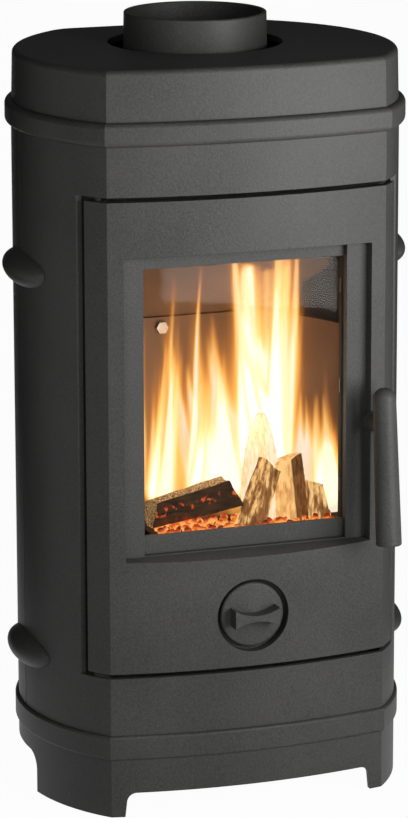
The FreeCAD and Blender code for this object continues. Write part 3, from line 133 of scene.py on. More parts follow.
# %% A node tree
class Board:
    """A node tree with one method that adds any node, and two for the commonest ones."""

    def __init__(self, tree):
        self.tree = tree
        self.tree.nodes.clear()

    def node(self, kind, settings=None, sockets=None):
        """Adds a node and gives its outputs by name."""
        made = self.tree.nodes.new(kind)
        for name, value in (settings or {}).items():
            setattr(made, name, value)
        for name, value in (sockets or {}).items():
            self.feed(made.inputs[name], value)
        return {socket.name: Wire(self, socket) for socket in made.outputs if socket.enabled}

    def feed(self, socket, value):
        if isinstance(value, Wire):
            self.tree.links.new(value.socket, socket)
        else:
            socket.default_value = value

    def number(self, operation, *terms):
        """A Math node."""
        return self.node("ShaderNodeMath", {"operation": operation}, dict(enumerate(terms)))["Value"]

    def vector(self, operation, *terms, **named):
        """A Vector Math node."""
        sockets = {**dict(enumerate(terms)), **named}
        return self.node("ShaderNodeVectorMath", {"operation": operation}, sockets)["Vector"]


# %% A finish
MIX_FACTOR, MIX_FIRST, MIX_SECOND = 0, 6, 7  # the Mix node's sockets for colours


class Finish(Board):
    """The node tree of one material."""

    def __init__(self, name):
        self.material = bpy.data.materials.new(name)
        self.material.use_nodes = True
        super().__init__(self.material.node_tree)

    def ramp(self, factor, stops):
        """A colour ramp from (place, colour) stops."""
        made = self.tree.nodes.new("ShaderNodeValToRGB")
        self.feed(made.inputs["Fac"], factor)
        points = made.color_ramp.elements
        while len(points) < len(stops):
            points.new(1)
        for point, (place, colour) in zip(points, stops):
            point.position = place
            point.color = (*colour, 1)
        return Wire(self, made.outputs["Color"])

    def mix(self, factor, first, second):
        """A blend of two colours: the first at 0, the second at 1."""
        sockets = {MIX_FACTOR: factor, MIX_FIRST: first, MIX_SECOND: second}
        return self.node("ShaderNodeMix", {"data_type": "RGBA"}, sockets)["Result"]

    def mix_shaders(self, factor, first, second):
        return self.node("ShaderNodeMixShader", None, {"Fac": factor, 1: first, 2: second})["Shader"]

    def place(self, stretch=None):
        """The place on the object in metres, or stretched along its axes."""
        here = self.node("ShaderNodeTexCoord")["Object"]
        if stretch:
            here = self.node("ShaderNodeMapping", None, {"Vector": here, "Scale": stretch})["Vector"]
        return here

    def along(self, axis):
        """The place on the object along one axis, in metres."""
        return self.node("ShaderNodeSeparateXYZ", None, {"Vector": self.place()})[axis]

    def speckle(self, scale, vector=None, detail=2.0, rough=0.5):
        """Noise around 0.5; scale counts its grains along one metre."""
        sockets = {"Vector": vector or self.place(), "Scale": scale, "Detail": detail, "Roughness": rough}
        return self.node("ShaderNodeTexNoise", None, sockets)["Fac"]

    def bump(self, height, depth, normal=None):
        """A normal from a height map whose full swing is depth metres."""
        sockets = {"Height": height, "Distance": depth, "Strength": 1.0}
        if normal:
            sockets["Normal"] = normal
        return self.node("ShaderNodeBump", None, sockets)["Normal"]

    def close(self, shader):
        """Ends the tree and gives the material."""
        self.node("ShaderNodeOutputMaterial", None, {"Surface": shader})
        return self.material

    def shade(self, **sockets):
        """Ends the tree with a Principled shader; socket names are written with underscores."""
        named = {name.replace("_", " "): value for name, value in sockets.items()}
        return self.close(self.node("ShaderNodeBsdfPrincipled", None, named)["BSDF"])


print("shader helpers ready")

# %% [markdown]
# ## Stove paint on cast iron
# The iron is sand cast, so its skin has a fine, even grain, and matt charcoal paint lies over it.
# Two noises make the grain, one of about two millimetres and one finer, and a slow third noise stands
# for the cloudy tone of sprayed paint. A Bevel node rounds the normals at the edges, because a casting has
# no knife edges and each edge in the photograph catches a thin line of light. The colour darkens where an
# Ambient Occlusion node finds other iron close by: this is painted shade in the creases and seams.

# %% Paint
PAINT_DARK = (0.028, 0.0276, 0.0267)
PAINT_LIGHT = (0.058, 0.057, 0.0553)
PAINT_STOPS = ((0.38, PAINT_DARK), (0.62, PAINT_LIGHT))
PAINT_SHEEN = 0.28
CLOUDS, COARSE_GRAINS, FINE_GRAINS = 7, 430, 1300
COARSE_SHARE, GRAIN_SHARE = 0.65, 0.65
GRAIN_DEPTH = 0.00042
ROUGH_LEAST, ROUGH_BY_CLOUDS, ROUGH_BY_GRAIN = 0.42, 0.08, 0.10
EDGE_ROUND, EDGE_SAMPLES = 0.0011, 4
# painted shade: the colour that creases and seams darken to where other iron is close by
PAINTED_CREASE_SHADE = (0.012, 0.012, 0.012, 1)
CREASE_REACH, CREASE_SAMPLES = 0.006, 8
CREASE_OPENNESS = (0.15, 0.75)


def stove_paint():
    finish = Finish("stove_paint")
    clouds = finish.speckle(CLOUDS, detail=3)
    coarse, fine = finish.speckle(COARSE_GRAINS, detail=3), finish.speckle(FINE_GRAINS)
    grain = coarse * COARSE_SHARE + fine * (1 - COARSE_SHARE)
    tone = clouds * (1 - GRAIN_SHARE) + grain * GRAIN_SHARE
    # painted shade in the creases, from how much other iron an Ambient Occlusion node finds close by
    openness = finish.node(
        "ShaderNodeAmbientOcclusion", {"samples": CREASE_SAMPLES}, {"Distance": CREASE_REACH})["AO"]
    rounded = finish.node("ShaderNodeBevel", {"samples": EDGE_SAMPLES}, {"Radius": EDGE_ROUND})["Normal"]
    painted = finish.ramp(tone, PAINT_STOPS)
    return finish.shade(
        Base_Color=finish.mix(openness.between(*CREASE_OPENNESS), PAINTED_CREASE_SHADE, painted),
        Roughness=ROUGH_LEAST + clouds * ROUGH_BY_CLOUDS + grain * ROUGH_BY_GRAIN,
        Specular_IOR_Level=PAINT_SHEEN,
        Normal=finish.bump(grain, GRAIN_DEPTH, normal=rounded),
    )


# %% [markdown]
# ## Iron, steel and sheet inside the stove
# The plates around the fire are bare castings: black with soot, or browned by the heat.
# Small fixings are dull zinced steel, and the ash pan is folded sheet with a film of ash.
# They share one recipe of a patchy colour over a grain, with their own colours and scales.

# %% Bare metal
PATCH_SHARE = 0.7
PATCH_RANGE = (0.32, 0.68)
ROUGH_BY_PATCHES = 0.2
BARE_SHEEN = 0.25


def bare_metal(name, dark, light, patches, grains, depth, metal, rough):
    """Patchy metal: dark and light tones, patches and grains counted along one metre."""
    finish = Finish(name)
    patchy = finish.speckle(patches, detail=4, rough=0.6)
    grain = finish.speckle(grains)
    tone = patchy * PATCH_SHARE + grain * (1 - PATCH_SHARE)
    return finish.shade(
        Base_Color=finish.ramp(tone, list(zip(PATCH_RANGE, (dark, light)))),
        Roughness=rough + patchy * ROUGH_BY_PATCHES,
        Metallic=metal,
        Specular_IOR_Level=BARE_SHEEN,
        Normal=finish.bump(grain, depth),
    )


sooty_iron = bare_metal(
    "sooty_iron", (0.018, 0.017, 0.016), (0.050, 0.048, 0.046),
    patches=14, grains=600, depth=0.0002, metal=0.0, rough=0.6)
browned_iron = bare_metal(
    "browned_iron", (0.110, 0.060, 0.036), (0.195, 0.120, 0.078),
    patches=9, grains=500, depth=0.0001, metal=0.0, rough=0.6)
zinced_steel = bare_metal(
    "zinced_steel", (0.20, 0.20, 0.21), (0.36, 0.36, 0.37),
    patches=60, grains=2500, depth=0.00004, metal=1.0, rough=0.32)
ashy_sheet = bare_metal(
    "ashy_sheet", (0.10, 0.10, 0.10), (0.24, 0.235, 0.23),
    patches=20, grains=900, depth=0.00006, metal=0.3, rough=0.45)
print("bare metals:", ", ".join(m.name for m in (sooty_iron, browned_iron, zinced_steel, ashy_sheet)))

# %% [markdown]
# ## Stove glass
# The pane is clear ceramic glass. At this size its refraction can't be seen, but its shine can,
# so the pane lets light straight through and adds a mirror that grows towards grazing angles.
# A slight warm tint stands for the amber tone of ceramic glass. The index of refraction is lower than
# that of bare glass, because the pane in the photograph mirrors little.

# %% Glass
GLASS_TINT = (0.975, 0.955, 0.925, 1)
GLASS_IOR = 1.14
GLASS_ROUGH = 0.03


def stove_glass():
    finish = Finish("stove_glass")
    clear = finish.node("ShaderNodeBsdfTransparent", None, {"Color": GLASS_TINT})["BSDF"]
    shine = finish.node("ShaderNodeBsdfGlossy", None, {"Roughness": GLASS_ROUGH})["BSDF"]
    mirror = finish.node("ShaderNodeFresnel", None, {"IOR": GLASS_IOR})["Fac"]
    return finish.close(finish.mix_shaders(mirror, clear, shine))


# %% [markdown]
# Each CAD node gets the finish of its material slot. The rope seals are left out here, because woven
# pieces replace them below. The hinge's steel takes the finish of sooty iron, so that it shows dark.

# %% Dress the CAD nodes by the record's material slots
FINISHES = {
    "painted_iron": stove_paint(),
    "bare_iron": sooty_iron,
    "lining_iron": browned_iron,
    "steel": zinced_steel,
    "pan_steel": ashy_sheet,
    "window_glass": stove_glass(),
}
# the hinge pins and washer are dressed in sooty iron instead of steel, so they show dark
DARKENED_HINGE_PARTS = ("hinge_pins", "hinge_washer")
for subpart in frame["record"]["subparts"]:
    finish = FINISHES.get(subpart["material_slot"])
    if finish:
        stove[subpart["node"]].data.materials.clear()
        stove[subpart["node"]].data.materials.append(finish)
for node in DARKENED_HINGE_PARTS:
    stove[node].data.materials[0] = sooty_iron
print("finishes:", ", ".join(FINISHES))

# %% [markdown]
# ## Making a piece
# Each new piece is a mesh whose place is in its points, so that its object stays at the origin.
# `add_piece` links it, makes it ride on the body that carries it, and hides the CAD nodes it stands for.

# %% A piece that rides on a body
def add_piece(name, mesh, body, stands_for=()):
    piece = bpy.data.objects.new(name, mesh)
    bpy.context.scene.collection.objects.link(piece)
    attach(piece, body)
    if stands_for:
        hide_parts(*stands_for)
    print(f"{name}: {len(mesh.vertices)} points on {body}")
    return piece


# %% [markdown]
# ## Flames
# The photograph freezes tall streaks of flame that melt into one white heart over the logs.
# A volume would need many samples, so the fire is a few upright sheets, one behind the other.
# Every point of a sheet stores its warmth, which is the sum of the tongues that rise through it.
# The shader turns warmth into alpha and into the colours of hot soot, from orange to white.

# %% The sheets and their tongues, in millimetres
SHEET_DEPTHS = (12, 26, 40, 54)
SHEET_LEFT, SHEET_RIGHT = -100, 184
HEARTH_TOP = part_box("grate")[1].z / MM
BAFFLE_BACK, BAFFLE_LOW, BAFFLE_SLOPE = 176, 499, 0.648  # its underside's back edge and rise to the front
ROWS, COLUMNS = 145, 215

# each group: height of the feet, then foot x, tip x, tip height, half width and warmth of a tongue
TONGUES = {
    "heart": (358, (
        (70, 35, 640, 8, 0.75), (72, 45, 720, 9, 0.95), (78, 66, 760, 9, 1.00), (74, 69, 780, 10, 1.00),
        (86, 95, 760, 10, 1.00), (96, 115, 740, 8, 0.95), (92, 111, 700, 7, 0.80), (108, 126, 560, 8, 0.75),
        (82, 55, 500, 10, 1.00), (78, 76, 520, 12, 1.00), (75, 60, 700, 15, 0.50), (88, 100, 690, 15, 0.50),
    )),
    "fan": (328, (
        (-43, -34, 620, 5, 0.36), (-10, 3, 650, 4, 0.42), (53, 8, 545, 8, 0.72), (5, -31, 560, 7, 0.62),
        (-58, -42, 530, 7, 0.62), (-57, -51, 505, 6, 0.62), (-55, -35, 525, 7, 0.64), (24, -4, 500, 8, 0.72),
        (-17, 1, 480, 8, 0.68), (34, 19, 520, 8, 0.75), (-32, -16, 530, 7, 0.60), (7, 2, 450, 9, 0.72),
        (-30, -27, 600, 16, 0.36), (8, -14, 590, 17, 0.38), (38, 30, 560, 14, 0.45), (-62, -58, 560, 8, 0.40),
    )),
    "licks": (298, (
        (151, 143, 465, 7, 0.95), (144, 137, 440, 7, 0.85), (132, 128, 455, 8, 0.75),
        (174, 171, 395, 7, 0.80),
    )),
}

# sheet, middle x and height, half width and half height, warmth
GLOWS = (
    (1, 78, 415, 36, 100, 1.15), (2, 74, 352, 48, 66, 1.10), (3, 88, 480, 42, 120, 0.50),
    (0, 148, 322, 26, 44, 0.95), (2, 146, 318, 32, 56, 0.95),
    (1, -10, 345, 66, 46, 0.55), (3, -4, 388, 70, 86, 0.40), (2, 30, 380, 46, 70, 0.42),
)
print({name: len(tongues) for name, (_, tongues) in TONGUES.items()}, "and", len(GLOWS), "glows")

# %% [markdown]
# A tongue is a bent path from foot to tip. It is split into a few strands that stray a little from it,
# because a flame is never one clean spike. The dice are seeded, so that every run gives the same fire.
# All points of a sheet are worked out at once as arrays, which is much faster than one by one.

# %% Warmth of a sheet
STRANDS, FLAME_SEED = 5, 11
STRAND_WARMTH = 0.5
STRAY = 1.1
RISE_SHARES, WIDTH_SHARES = (0.78, 1.03), (0.5, 1.05)
BEND = 0.5
SWAY_REACH, SWAY_TURN = 1.8, 7
FOOT_WIDTH, NARROWING = 1.15, 0.8
FOOT_FADE = 18
TIP_POWER = 0.55


def strand_warmth(x, z, dice, foot_z, foot_x, tip_x, tip_z, half_width, warmth):
    """Warmth of one strand at arrays of places: strongest in its middle, fading towards its tip."""
    stray = half_width * dice.uniform(-STRAY, STRAY)
    rise = (tip_z - foot_z) * dice.uniform(*RISE_SHARES)
    share = np.clip((z - foot_z) / rise, 0, 1)
    path = foot_x + (tip_x - foot_x) * share * (1 + BEND - BEND * share)
    sway = SWAY_REACH * np.sin(dice.uniform(0, math.tau) + SWAY_TURN * share) * share
    wide = half_width * dice.uniform(*WIDTH_SHARES) * (FOOT_WIDTH - NARROWING * share)
    across = np.exp(-(((x - path - stray - sway) / wide) ** 2))
    below = np.clip((z - foot_z + FOOT_FADE) / FOOT_FADE, 0, 1)
    return warmth * STRAND_WARMTH * across * (1 - share) ** TIP_POWER * below


def sheet_warmth(number, x, z):
    """Sum of the tongues and glows of one sheet; the tongues go round the sheets in turn."""
    dice = random.Random(FLAME_SEED + number)
    total = np.zeros_like(x)
    for foot_z, tongues in TONGUES.values():
        for tongue in tongues[number::len(SHEET_DEPTHS)]:
            for _ in range(STRANDS):
                total += strand_warmth(x, z, dice, foot_z, *tongue)
    for sheet, middle_x, middle_z, half_width, half_height, warmth in GLOWS:
        if sheet == number:
            spread = ((x - middle_x) / half_width) ** 2 + ((z - middle_z) / half_height) ** 2
            total += warmth * np.exp(-spread)
    return total


# %% [markdown]
# Each sheet is a fine grid that waves a little in depth, so that it is no flat card from the side,
# and that ends under the sloping baffle, where its warmth fades out. The warmth is kept in an attribute
# on the points, under a name that the renderer doesn't use itself.

# %% A flame sheet, in millimetres
WAVE_DEPTH, WAVE_ACROSS, WAVE_UP = 4, 13, 8
SHEET_LIFT = 1
TIP_FADE = 0.025


def flame_sheet(number, depth):
    columns = np.linspace(SHEET_LEFT, SHEET_RIGHT, COLUMNS + 1)
    across, up = np.meshgrid(columns, np.linspace(0, 1, ROWS + 1))
    x, share = across.ravel(), up.ravel()
    y = depth + WAVE_DEPTH * np.sin(x / WAVE_ACROSS + number) * np.sin(share * WAVE_UP + 2 * number)
    floor = HEARTH_TOP + SHEET_LIFT
    ceiling = BAFFLE_LOW + (BAFFLE_BACK - y) * BAFFLE_SLOPE
    z = floor + (ceiling - floor) * share
    wide = COLUMNS + 1
    faces = [
        (low, low + 1, low + wide + 1, low + wide)
        for row in range(ROWS) for low in range(row * wide, row * wide + COLUMNS)
    ]
    mesh = bpy.data.meshes.new(f"flame_{number + 1}")
    mesh.from_pydata(list(zip(x * MM, y * MM, z * MM)), [], faces)
    warmth = sheet_warmth(number, x, z) * np.clip((1 - share) / TIP_FADE, 0, 1)
    mesh.attributes.new("warmth", "FLOAT", "POINT").data.foreach_set("value", warmth)
    mesh.shade_smooth()
    return mesh


# %% [markdown]
# Real flames add their light to what is behind them. So each sheet hides only a part of what it stands
# before, and where several overlap they burn white. They cast no shadow on the linings.

# %% Raise the flames
FLAME_STRENGTH = 1.65
FLAME_COVER = 0.6
FLAME_EDGE = (0.01, 0.72)
FLAME_STREAKS = (120, 40, 6)
FLICKER_LEAST, FLICKER_SWING = 0.55, 0.9
FLAME_COLOURS = (
    (0.00, (0.54, 0.140, 0.014)),
    (0.25, (0.80, 0.285, 0.040)),
    (0.50, (0.94, 0.460, 0.105)),
    (0.75, (1.00, 0.670, 0.280)),
    (1.00, (1.00, 0.930, 0.760)),
)


def flame_finish():
    finish = Finish("flame")
    warmth = finish.node("ShaderNodeAttribute", {"attribute_name": "warmth"})["Fac"]
    flicker = finish.speckle(1.0, finish.place(FLAME_STREAKS), detail=3)
    lively = warmth * (FLICKER_LEAST + FLICKER_SWING * flicker)
    made = finish.shade(
        Base_Color=(*BLACK, 1),
        Roughness=1.0,
        Specular_IOR_Level=0.0,
        Emission_Color=finish.ramp(lively, FLAME_COLOURS),
        Emission_Strength=FLAME_STRENGTH,
        Alpha=lively.between(*FLAME_EDGE) * FLAME_COVER,
    )
    made.cycles.emission_sampling = "NONE"
    return made


flame = flame_finish()
for number, depth in enumerate(SHEET_DEPTHS):
    mesh = flame_sheet(number, depth)
    mesh.materials.append(flame)
    add_piece(mesh.name, mesh, "casing").visible_shadow = False

# %% [markdown]
# ## Logs
# A firelog is a split stick: bark on its round side, flat riven faces and rough sawn ends.
# Each log is a ring of points swept from one end to the other, so that it can taper and end aslant.
# Noise roughens the skin along the grain. The map round and along the log tells the shader
# which side is bark, which is riven, and which is turned away from the flames.

# %% A split log
LOG_RINGS, LOG_SIDES = 44, 64
RIVEN_DEPTH = 0.5
LUMPS, CHIPS, CHIP_FINENESS = 0.06, 0.035, 4.1
LUMPS_ROUND, LUMPS_ALONG = 2, 5


def log_outline(angle, faces):
    """Reach of the log's section at an angle: a round cut flat where its riven faces point, in degrees."""
    reach = 1.0
    for face in faces:
        facing = math.cos(angle - math.radians(face))
        if facing > RIVEN_DEPTH:
            reach = min(reach, RIVEN_DEPTH / facing)
    return reach


def split_log(name, foot, top, radii, faces, swell=1.0, aslant=0.0):
    """A log from foot to top; a high swell keeps its width up to a pointed top, aslant leans its end cut."""
    start, axis = Vector(foot) * MM, (Vector(top) - Vector(foot)) * MM
    across = axis.cross(Vector((0, 1, 0))).normalized()
    deep = across.cross(axis).normalized()
    made = bmesh.new()
    chart = made.loops.layers.uv.new("UVMap")
    rings = []
    for row in range(LOG_RINGS + 1):
        share = row / LOG_RINGS
        size = (radii[0] + (radii[1] - radii[0]) * share**swell) * MM
        ring = []
        for side in range(LOG_SIDES):
            angle = math.tau * side / LOG_SIDES
            right, back = math.cos(angle), math.sin(angle)
            spot = Vector((right * LUMPS_ROUND, back * LUMPS_ROUND, share * LUMPS_ALONG)) + Vector(foot)
            rough = 1 + LUMPS * noise.noise(spot) + CHIPS * noise.noise(spot * CHIP_FINENESS)
            reach = size * log_outline(angle, faces) * rough
            shift = aslant * right * (share - 0.5) * 2
            ring.append(made.verts.new(
                start + axis * (share + shift) + across * reach * right + deep * reach * back
            ))
        rings.append(ring)
    for row, (lower, upper) in enumerate(zip(rings, rings[1:])):
        for side in range(LOG_SIDES):
            after = (side + 1) % LOG_SIDES
            face = made.faces.new((lower[side], lower[after], upper[after], upper[side]))
            corners = ((side, row), (side + 1, row), (side + 1, row + 1), (side, row + 1))
            for loop, (u, v) in zip(face.loops, corners):
                loop[chart].uv = (u / LOG_SIDES, v / LOG_RINGS)
            face.smooth = True
    made.faces.new(list(reversed(rings[0])))
    made.faces.new(rings[-1])
    bmesh.ops.recalc_face_normals(made, faces=made.faces)
    mesh = bpy.data.meshes.new(name)
    made.to_mesh(mesh)
    made.free()
    return mesh


# %% [markdown]
# The lying log is charred: a dark brown riven face with a few glowing chips, pale crackled bark along
# its top, and red embers under it. The bark is found by the share of the way round the log. The bark's
# pale blocks also emit half their colour, which is painted firelight on the log's top.

# %% Charred wood with embers
WOOD_ROUGH, WOOD_SHEEN = 0.85, 0.12
CHAR_STOPS = ((0.35, (0.028, 0.016, 0.008)), (0.70, (0.092, 0.050, 0.021)))
BARK_STOPS = ((0.0, (0.13, 0.060, 0.022)), (1.0, (0.70, 0.45, 0.20)))
BARK_START, BARK_END = (0.905, 0.925), (0.30, 0.36)
BARK_BLOCKS, BARK_CRACK = (330, 160, 420), (0.02, 0.22)
BLOCK_RISE, BLOCK_SHARE = (0.0, 0.15), 0.5
# painted firelight: the share of the bark's colour that its pale blocks also emit
BARK_PAINTED_FIRELIGHT = 0.5
EMBER_RED, EMBER_BRIGHT, EMBER_YELLOW = (0.42, 0.028, 0.004), (1.0, 0.25, 0.035), (1.0, 0.46, 0.12)
EMBER_STOPS = ((0.0, BLACK), (0.35, EMBER_RED), (1.0, EMBER_BRIGHT))
EMBER_HEIGHT, EMBER_SIDE, EMBER_PATCH = (0.296, 0.318), (-0.09, 0.01), (0.44, 0.62)
CHIP_BELT_START, CHIP_BELT_END, CHIP_PATCH = (0.70, 0.75), (0.80, 0.86), (0.58, 0.66)
EMBER_SPOTS, CHIP_SPOTS, CHIP_GLOW = 110, 170, 0.6
CHAR_FIBRES, CHAR_STRETCH = 220, (0.2, 1, 1)
CHAR_DEPTH = 0.0014


def way_round(finish):
    """Share of the way round a log, from its own map."""
    chart = finish.node("ShaderNodeTexCoord")["UV"]
    return finish.node("ShaderNodeSeparateXYZ", None, {"Vector": chart})["X"]


def charred_wood():
    finish = Finish("charred_wood")
    turn = way_round(finish)
    blocks = finish.node(
        "ShaderNodeTexVoronoi", {"feature": "DISTANCE_TO_EDGE"},
        {"Vector": finish.place(BARK_BLOCKS), "Scale": 1.0})["Distance"]
    fibre = finish.speckle(CHAR_FIBRES, finish.place(CHAR_STRETCH), detail=4)
    bark = turn.between(*BARK_START).either(1 - turn.between(*BARK_END))
    char = finish.ramp(fibre, CHAR_STOPS)
    crackled = finish.ramp(blocks.between(*BARK_CRACK), BARK_STOPS)
    low = (1 - finish.along("Z").between(*EMBER_HEIGHT)) * finish.along("X").between(*EMBER_SIDE)
    patch = finish.speckle(EMBER_SPOTS, detail=4, rough=0.65).between(*EMBER_PATCH)
    belt = turn.between(*CHIP_BELT_START) * (1 - turn.between(*CHIP_BELT_END))
    chips = finish.speckle(CHIP_SPOTS, detail=2).between(*CHIP_PATCH) * belt
    embers = finish.ramp(low * patch + CHIP_GLOW * chips, EMBER_STOPS)
    height = blocks.between(*BLOCK_RISE) * BLOCK_SHARE + fibre * (1 - BLOCK_SHARE)
    return finish.shade(
        Base_Color=finish.mix(bark, char, crackled),
        Roughness=WOOD_ROUGH,
        Specular_IOR_Level=WOOD_SHEEN,
        # the bark's emission is painted firelight; the embers and chips glow by themselves
        Emission_Color=finish.mix(bark * BARK_PAINTED_FIRELIGHT, embers, crackled),
        Emission_Strength=1.0,
        Normal=finish.bump(height, CHAR_DEPTH),
    )


# %% [markdown]
# The upright logs stand in the hottest flames. Their left sides shine in a cream tone that cracks break up,
# which is partly the wood's own glow and partly painted firelight. The side that is turned to the right
# wall is brown wood, and its dull brown emission is painted firelight.

# %% Glowing and firelit wood
FIRELIT_GLOW_WHITE, FIRELIT_GLOW_CREAM, FIRELIT_GLOW_CRACK = (1.00, 0.91, 0.70), (0.96, 0.62, 0.25), (0.56, 0.22, 0.05)
WOOD_STOPS = ((0.35, (0.085, 0.040, 0.013)), (0.68, (0.26, 0.115, 0.038)))
# painted firelight: the dull brown that the side turned to the right wall emits
PAINTED_FIRELIGHT_BROWN_STOPS = ((0.4, (0.055, 0.022, 0.006)), (0.7, (0.24, 0.105, 0.030)))
HOT_RANGE, HOT_EDGE = (0.36, 0.54), 0.14
BROWN_START, BROWN_EDGE = (0.40, 0.45), 0.02
WOOD_FIBRES, WOOD_BLOTCHES, WOOD_STRETCH = 230, 75, (1, 1, 0.3)
BLOTCH_SHARE = 0.5
WOOD_DEPTH = 0.0012


def glowing_and_firelit_wood(name, brown_until, cream_from, hottest, cracks):
    """Wood in the flames, with its own glow and painted firelight: brown up to a share of the way round,
    bright where its blotches pass cream_from.
    """
    finish = Finish(name)
    turn = way_round(finish)
    upright = finish.place(WOOD_STRETCH)
    fibre = finish.speckle(WOOD_FIBRES, upright, detail=4, rough=0.6)
    blotch = finish.speckle(WOOD_BLOTCHES, upright, detail=4, rough=0.6)
    still_hot = turn.between(brown_until - BROWN_EDGE, brown_until + BROWN_EDGE)
    brown = turn.between(*BROWN_START) * (1 - still_hot)
    wood = finish.ramp(fibre, WOOD_STOPS)
    cracked = blotch * BLOTCH_SHARE + fibre * (1 - BLOTCH_SHARE)
    # the cream colours are partly the wood's own glow and partly painted firelight
    hot = finish.ramp(cracked, list(zip(HOT_RANGE, (cracks, hottest))))
    lit = finish.mix(blotch.between(cream_from, cream_from + HOT_EDGE), wood, hot)
    return finish.shade(
        Base_Color=wood,
        Roughness=WOOD_ROUGH,
        Specular_IOR_Level=WOOD_SHEEN,
        # painted firelight: the side turned to the right wall emits a dull brown
        Emission_Color=finish.mix(brown, lit, finish.ramp(fibre, PAINTED_FIRELIGHT_BROWN_STOPS)),
        Emission_Strength=1.0,
        Normal=finish.bump(fibre, WOOD_DEPTH),
    )


# %% Lay the logs, in millimetres
WOODS = {
    "char": charred_wood(),
    "white": glowing_and_firelit_wood(
        "white_hot_wood", brown_until=0.0, cream_from=0.05, hottest=FIRELIT_GLOW_WHITE, cracks=FIRELIT_GLOW_CREAM),
    "hot": glowing_and_firelit_wood(
        "hot_wood", brown_until=0.74, cream_from=0.05, hottest=FIRELIT_GLOW_CREAM, cracks=FIRELIT_GLOW_CRACK),
    "warm": glowing_and_firelit_wood(
        "warm_wood", brown_until=0.0, cream_from=0.46, hottest=FIRELIT_GLOW_CREAM, cracks=FIRELIT_GLOW_CRACK),
}
LOGS = {
    "log_left": ("char", dict(
        foot=(-75, -18, 315), top=(23, -18, 334), radii=(25, 31), faces=(270, 178, 6), aslant=-0.07)),
    "log_middle": ("warm", dict(
        foot=(40, -24, 288), top=(68, -18, 362), radii=(18, 15), faces=(250, 330), aslant=0.06)),
    "log_right": ("hot", dict(
        foot=(100, -8, 288), top=(95, -2, 362), radii=(22, 19), faces=(236, 318), aslant=-0.05)),
    "log_stub": ("warm", dict(
        foot=(130, -10, 288), top=(125, -6, 332), radii=(15, 12), faces=(250, 330), aslant=0.1)),
    "log_tall": ("white", dict(
        foot=(66, 2, 288), top=(64, 2, 417), radii=(24, 5), faces=(235, 320), swell=3.2)),
}
for name, (wood, shape) in LOGS.items():
    mesh = split_log(name, **shape)
    mesh.materials.append(WOODS[wood])
    add_piece(name, mesh, "casing")

# %% [markdown]
# ## Coals
# Under the logs lies a bed of broken coals. They are alike but never equal, which is what Geometry Nodes
# are for: points are strewn over the grate, each gets a small faceted ball with its own turn and size,
# and a noise pushes the balls' points out of round. `Maker` builds such a tree with named inputs,
# runs it once and keeps the result as a plain mesh.

# %% A Geometry Nodes tree that makes one mesh
class Maker(Board):
    """A tree with named inputs, given with their socket types; the names are written with underscores."""

    def __init__(self, name, **inputs):
        super().__init__(bpy.data.node_groups.new(name, "GeometryNodeTree"))
        self.keys = {}
        for label, kind in inputs.items():
            socket = self.tree.interface.new_socket(
                label.replace("_", " "), in_out="INPUT", socket_type="NodeSocket" + kind)
            self.keys[label] = socket.identifier
        self.tree.interface.new_socket("Mesh", in_out="OUTPUT", socket_type="NodeSocketGeometry")
        self.given = self.node("NodeGroupInput")

    def close(self, geometry, material):
        """Makes instances real, gives the mesh its material and ends the tree."""
        real = self.node("GeometryNodeRealizeInstances", None, {"Geometry": geometry})["Geometry"]
        sockets = {"Geometry": real, "Material": material}
        dressed = self.node("GeometryNodeSetMaterial", None, sockets)["Geometry"]
        self.node("NodeGroupOutput", None, {"Mesh": dressed})

    def mesh(self, name, **values):
        """Runs the tree with its inputs set and gives a plain mesh."""
        holder = bpy.data.objects.new(name, bpy.data.meshes.new(name + "_start"))
        bpy.context.scene.collection.objects.link(holder)
        modifier = holder.modifiers.new("make", "NODES")
        modifier.node_group = self.tree
        for label, value in values.items():
            modifier[self.keys[label]] = value
        ready = holder.evaluated_get(bpy.context.evaluated_depsgraph_get())
        mesh = bpy.data.meshes.new_from_object(ready)
        mesh.name = name
        bpy.data.objects.remove(holder)
        return mesh


# %% Glowing coal
COAL_STOPS = ((0.42, (0.012, 0.010, 0.009)), (0.70, (0.17, 0.155, 0.14)))
COAL_EMBER_STOPS = ((0.0, BLACK), (0.4, EMBER_RED), (0.85, EMBER_BRIGHT), (1.0, EMBER_YELLOW))
COAL_HEIGHT, COAL_HEAT = (0.290, 0.303), (0.55, 1.15)
CRUST_GRAINS, HEAT_SPOTS = 240, 70
HEAT_FROM_BELOW, HEAT_BY_CHANCE = 0.7, 0.9
COAL_ROUGH, COAL_SHEEN, CRUST_DEPTH = 0.9, 0.1, 0.001


def glowing_coal():
    finish = Finish("glowing_coal")
    crust = finish.speckle(CRUST_GRAINS, detail=4, rough=0.65)
    below = 1 - finish.along("Z").between(*COAL_HEIGHT)
    heat = below * HEAT_FROM_BELOW + finish.speckle(HEAT_SPOTS, detail=2) * HEAT_BY_CHANCE
    return finish.shade(
        Base_Color=finish.ramp(crust, COAL_STOPS),
        Roughness=COAL_ROUGH,
        Specular_IOR_Level=COAL_SHEEN,
        Emission_Color=finish.ramp(heat.between(*COAL_HEAT), COAL_EMBER_STOPS),
        Emission_Strength=1.0,
        Normal=finish.bump(crust, CRUST_DEPTH),
    )


# %% Strew the coals
COAL_SMALLEST, COAL_LARGEST = (0.7, 0.6, 0.5), (1.5, 1.2, 0.9)
COAL_LUMPS, COAL_LUMP_SHARE = 160.0, 1.2
COAL_RADIUS, COAL_SEAT = 0.0055, 0.7
POINTS_PER_M2 = 1e6  # so many that only the spacing limits them


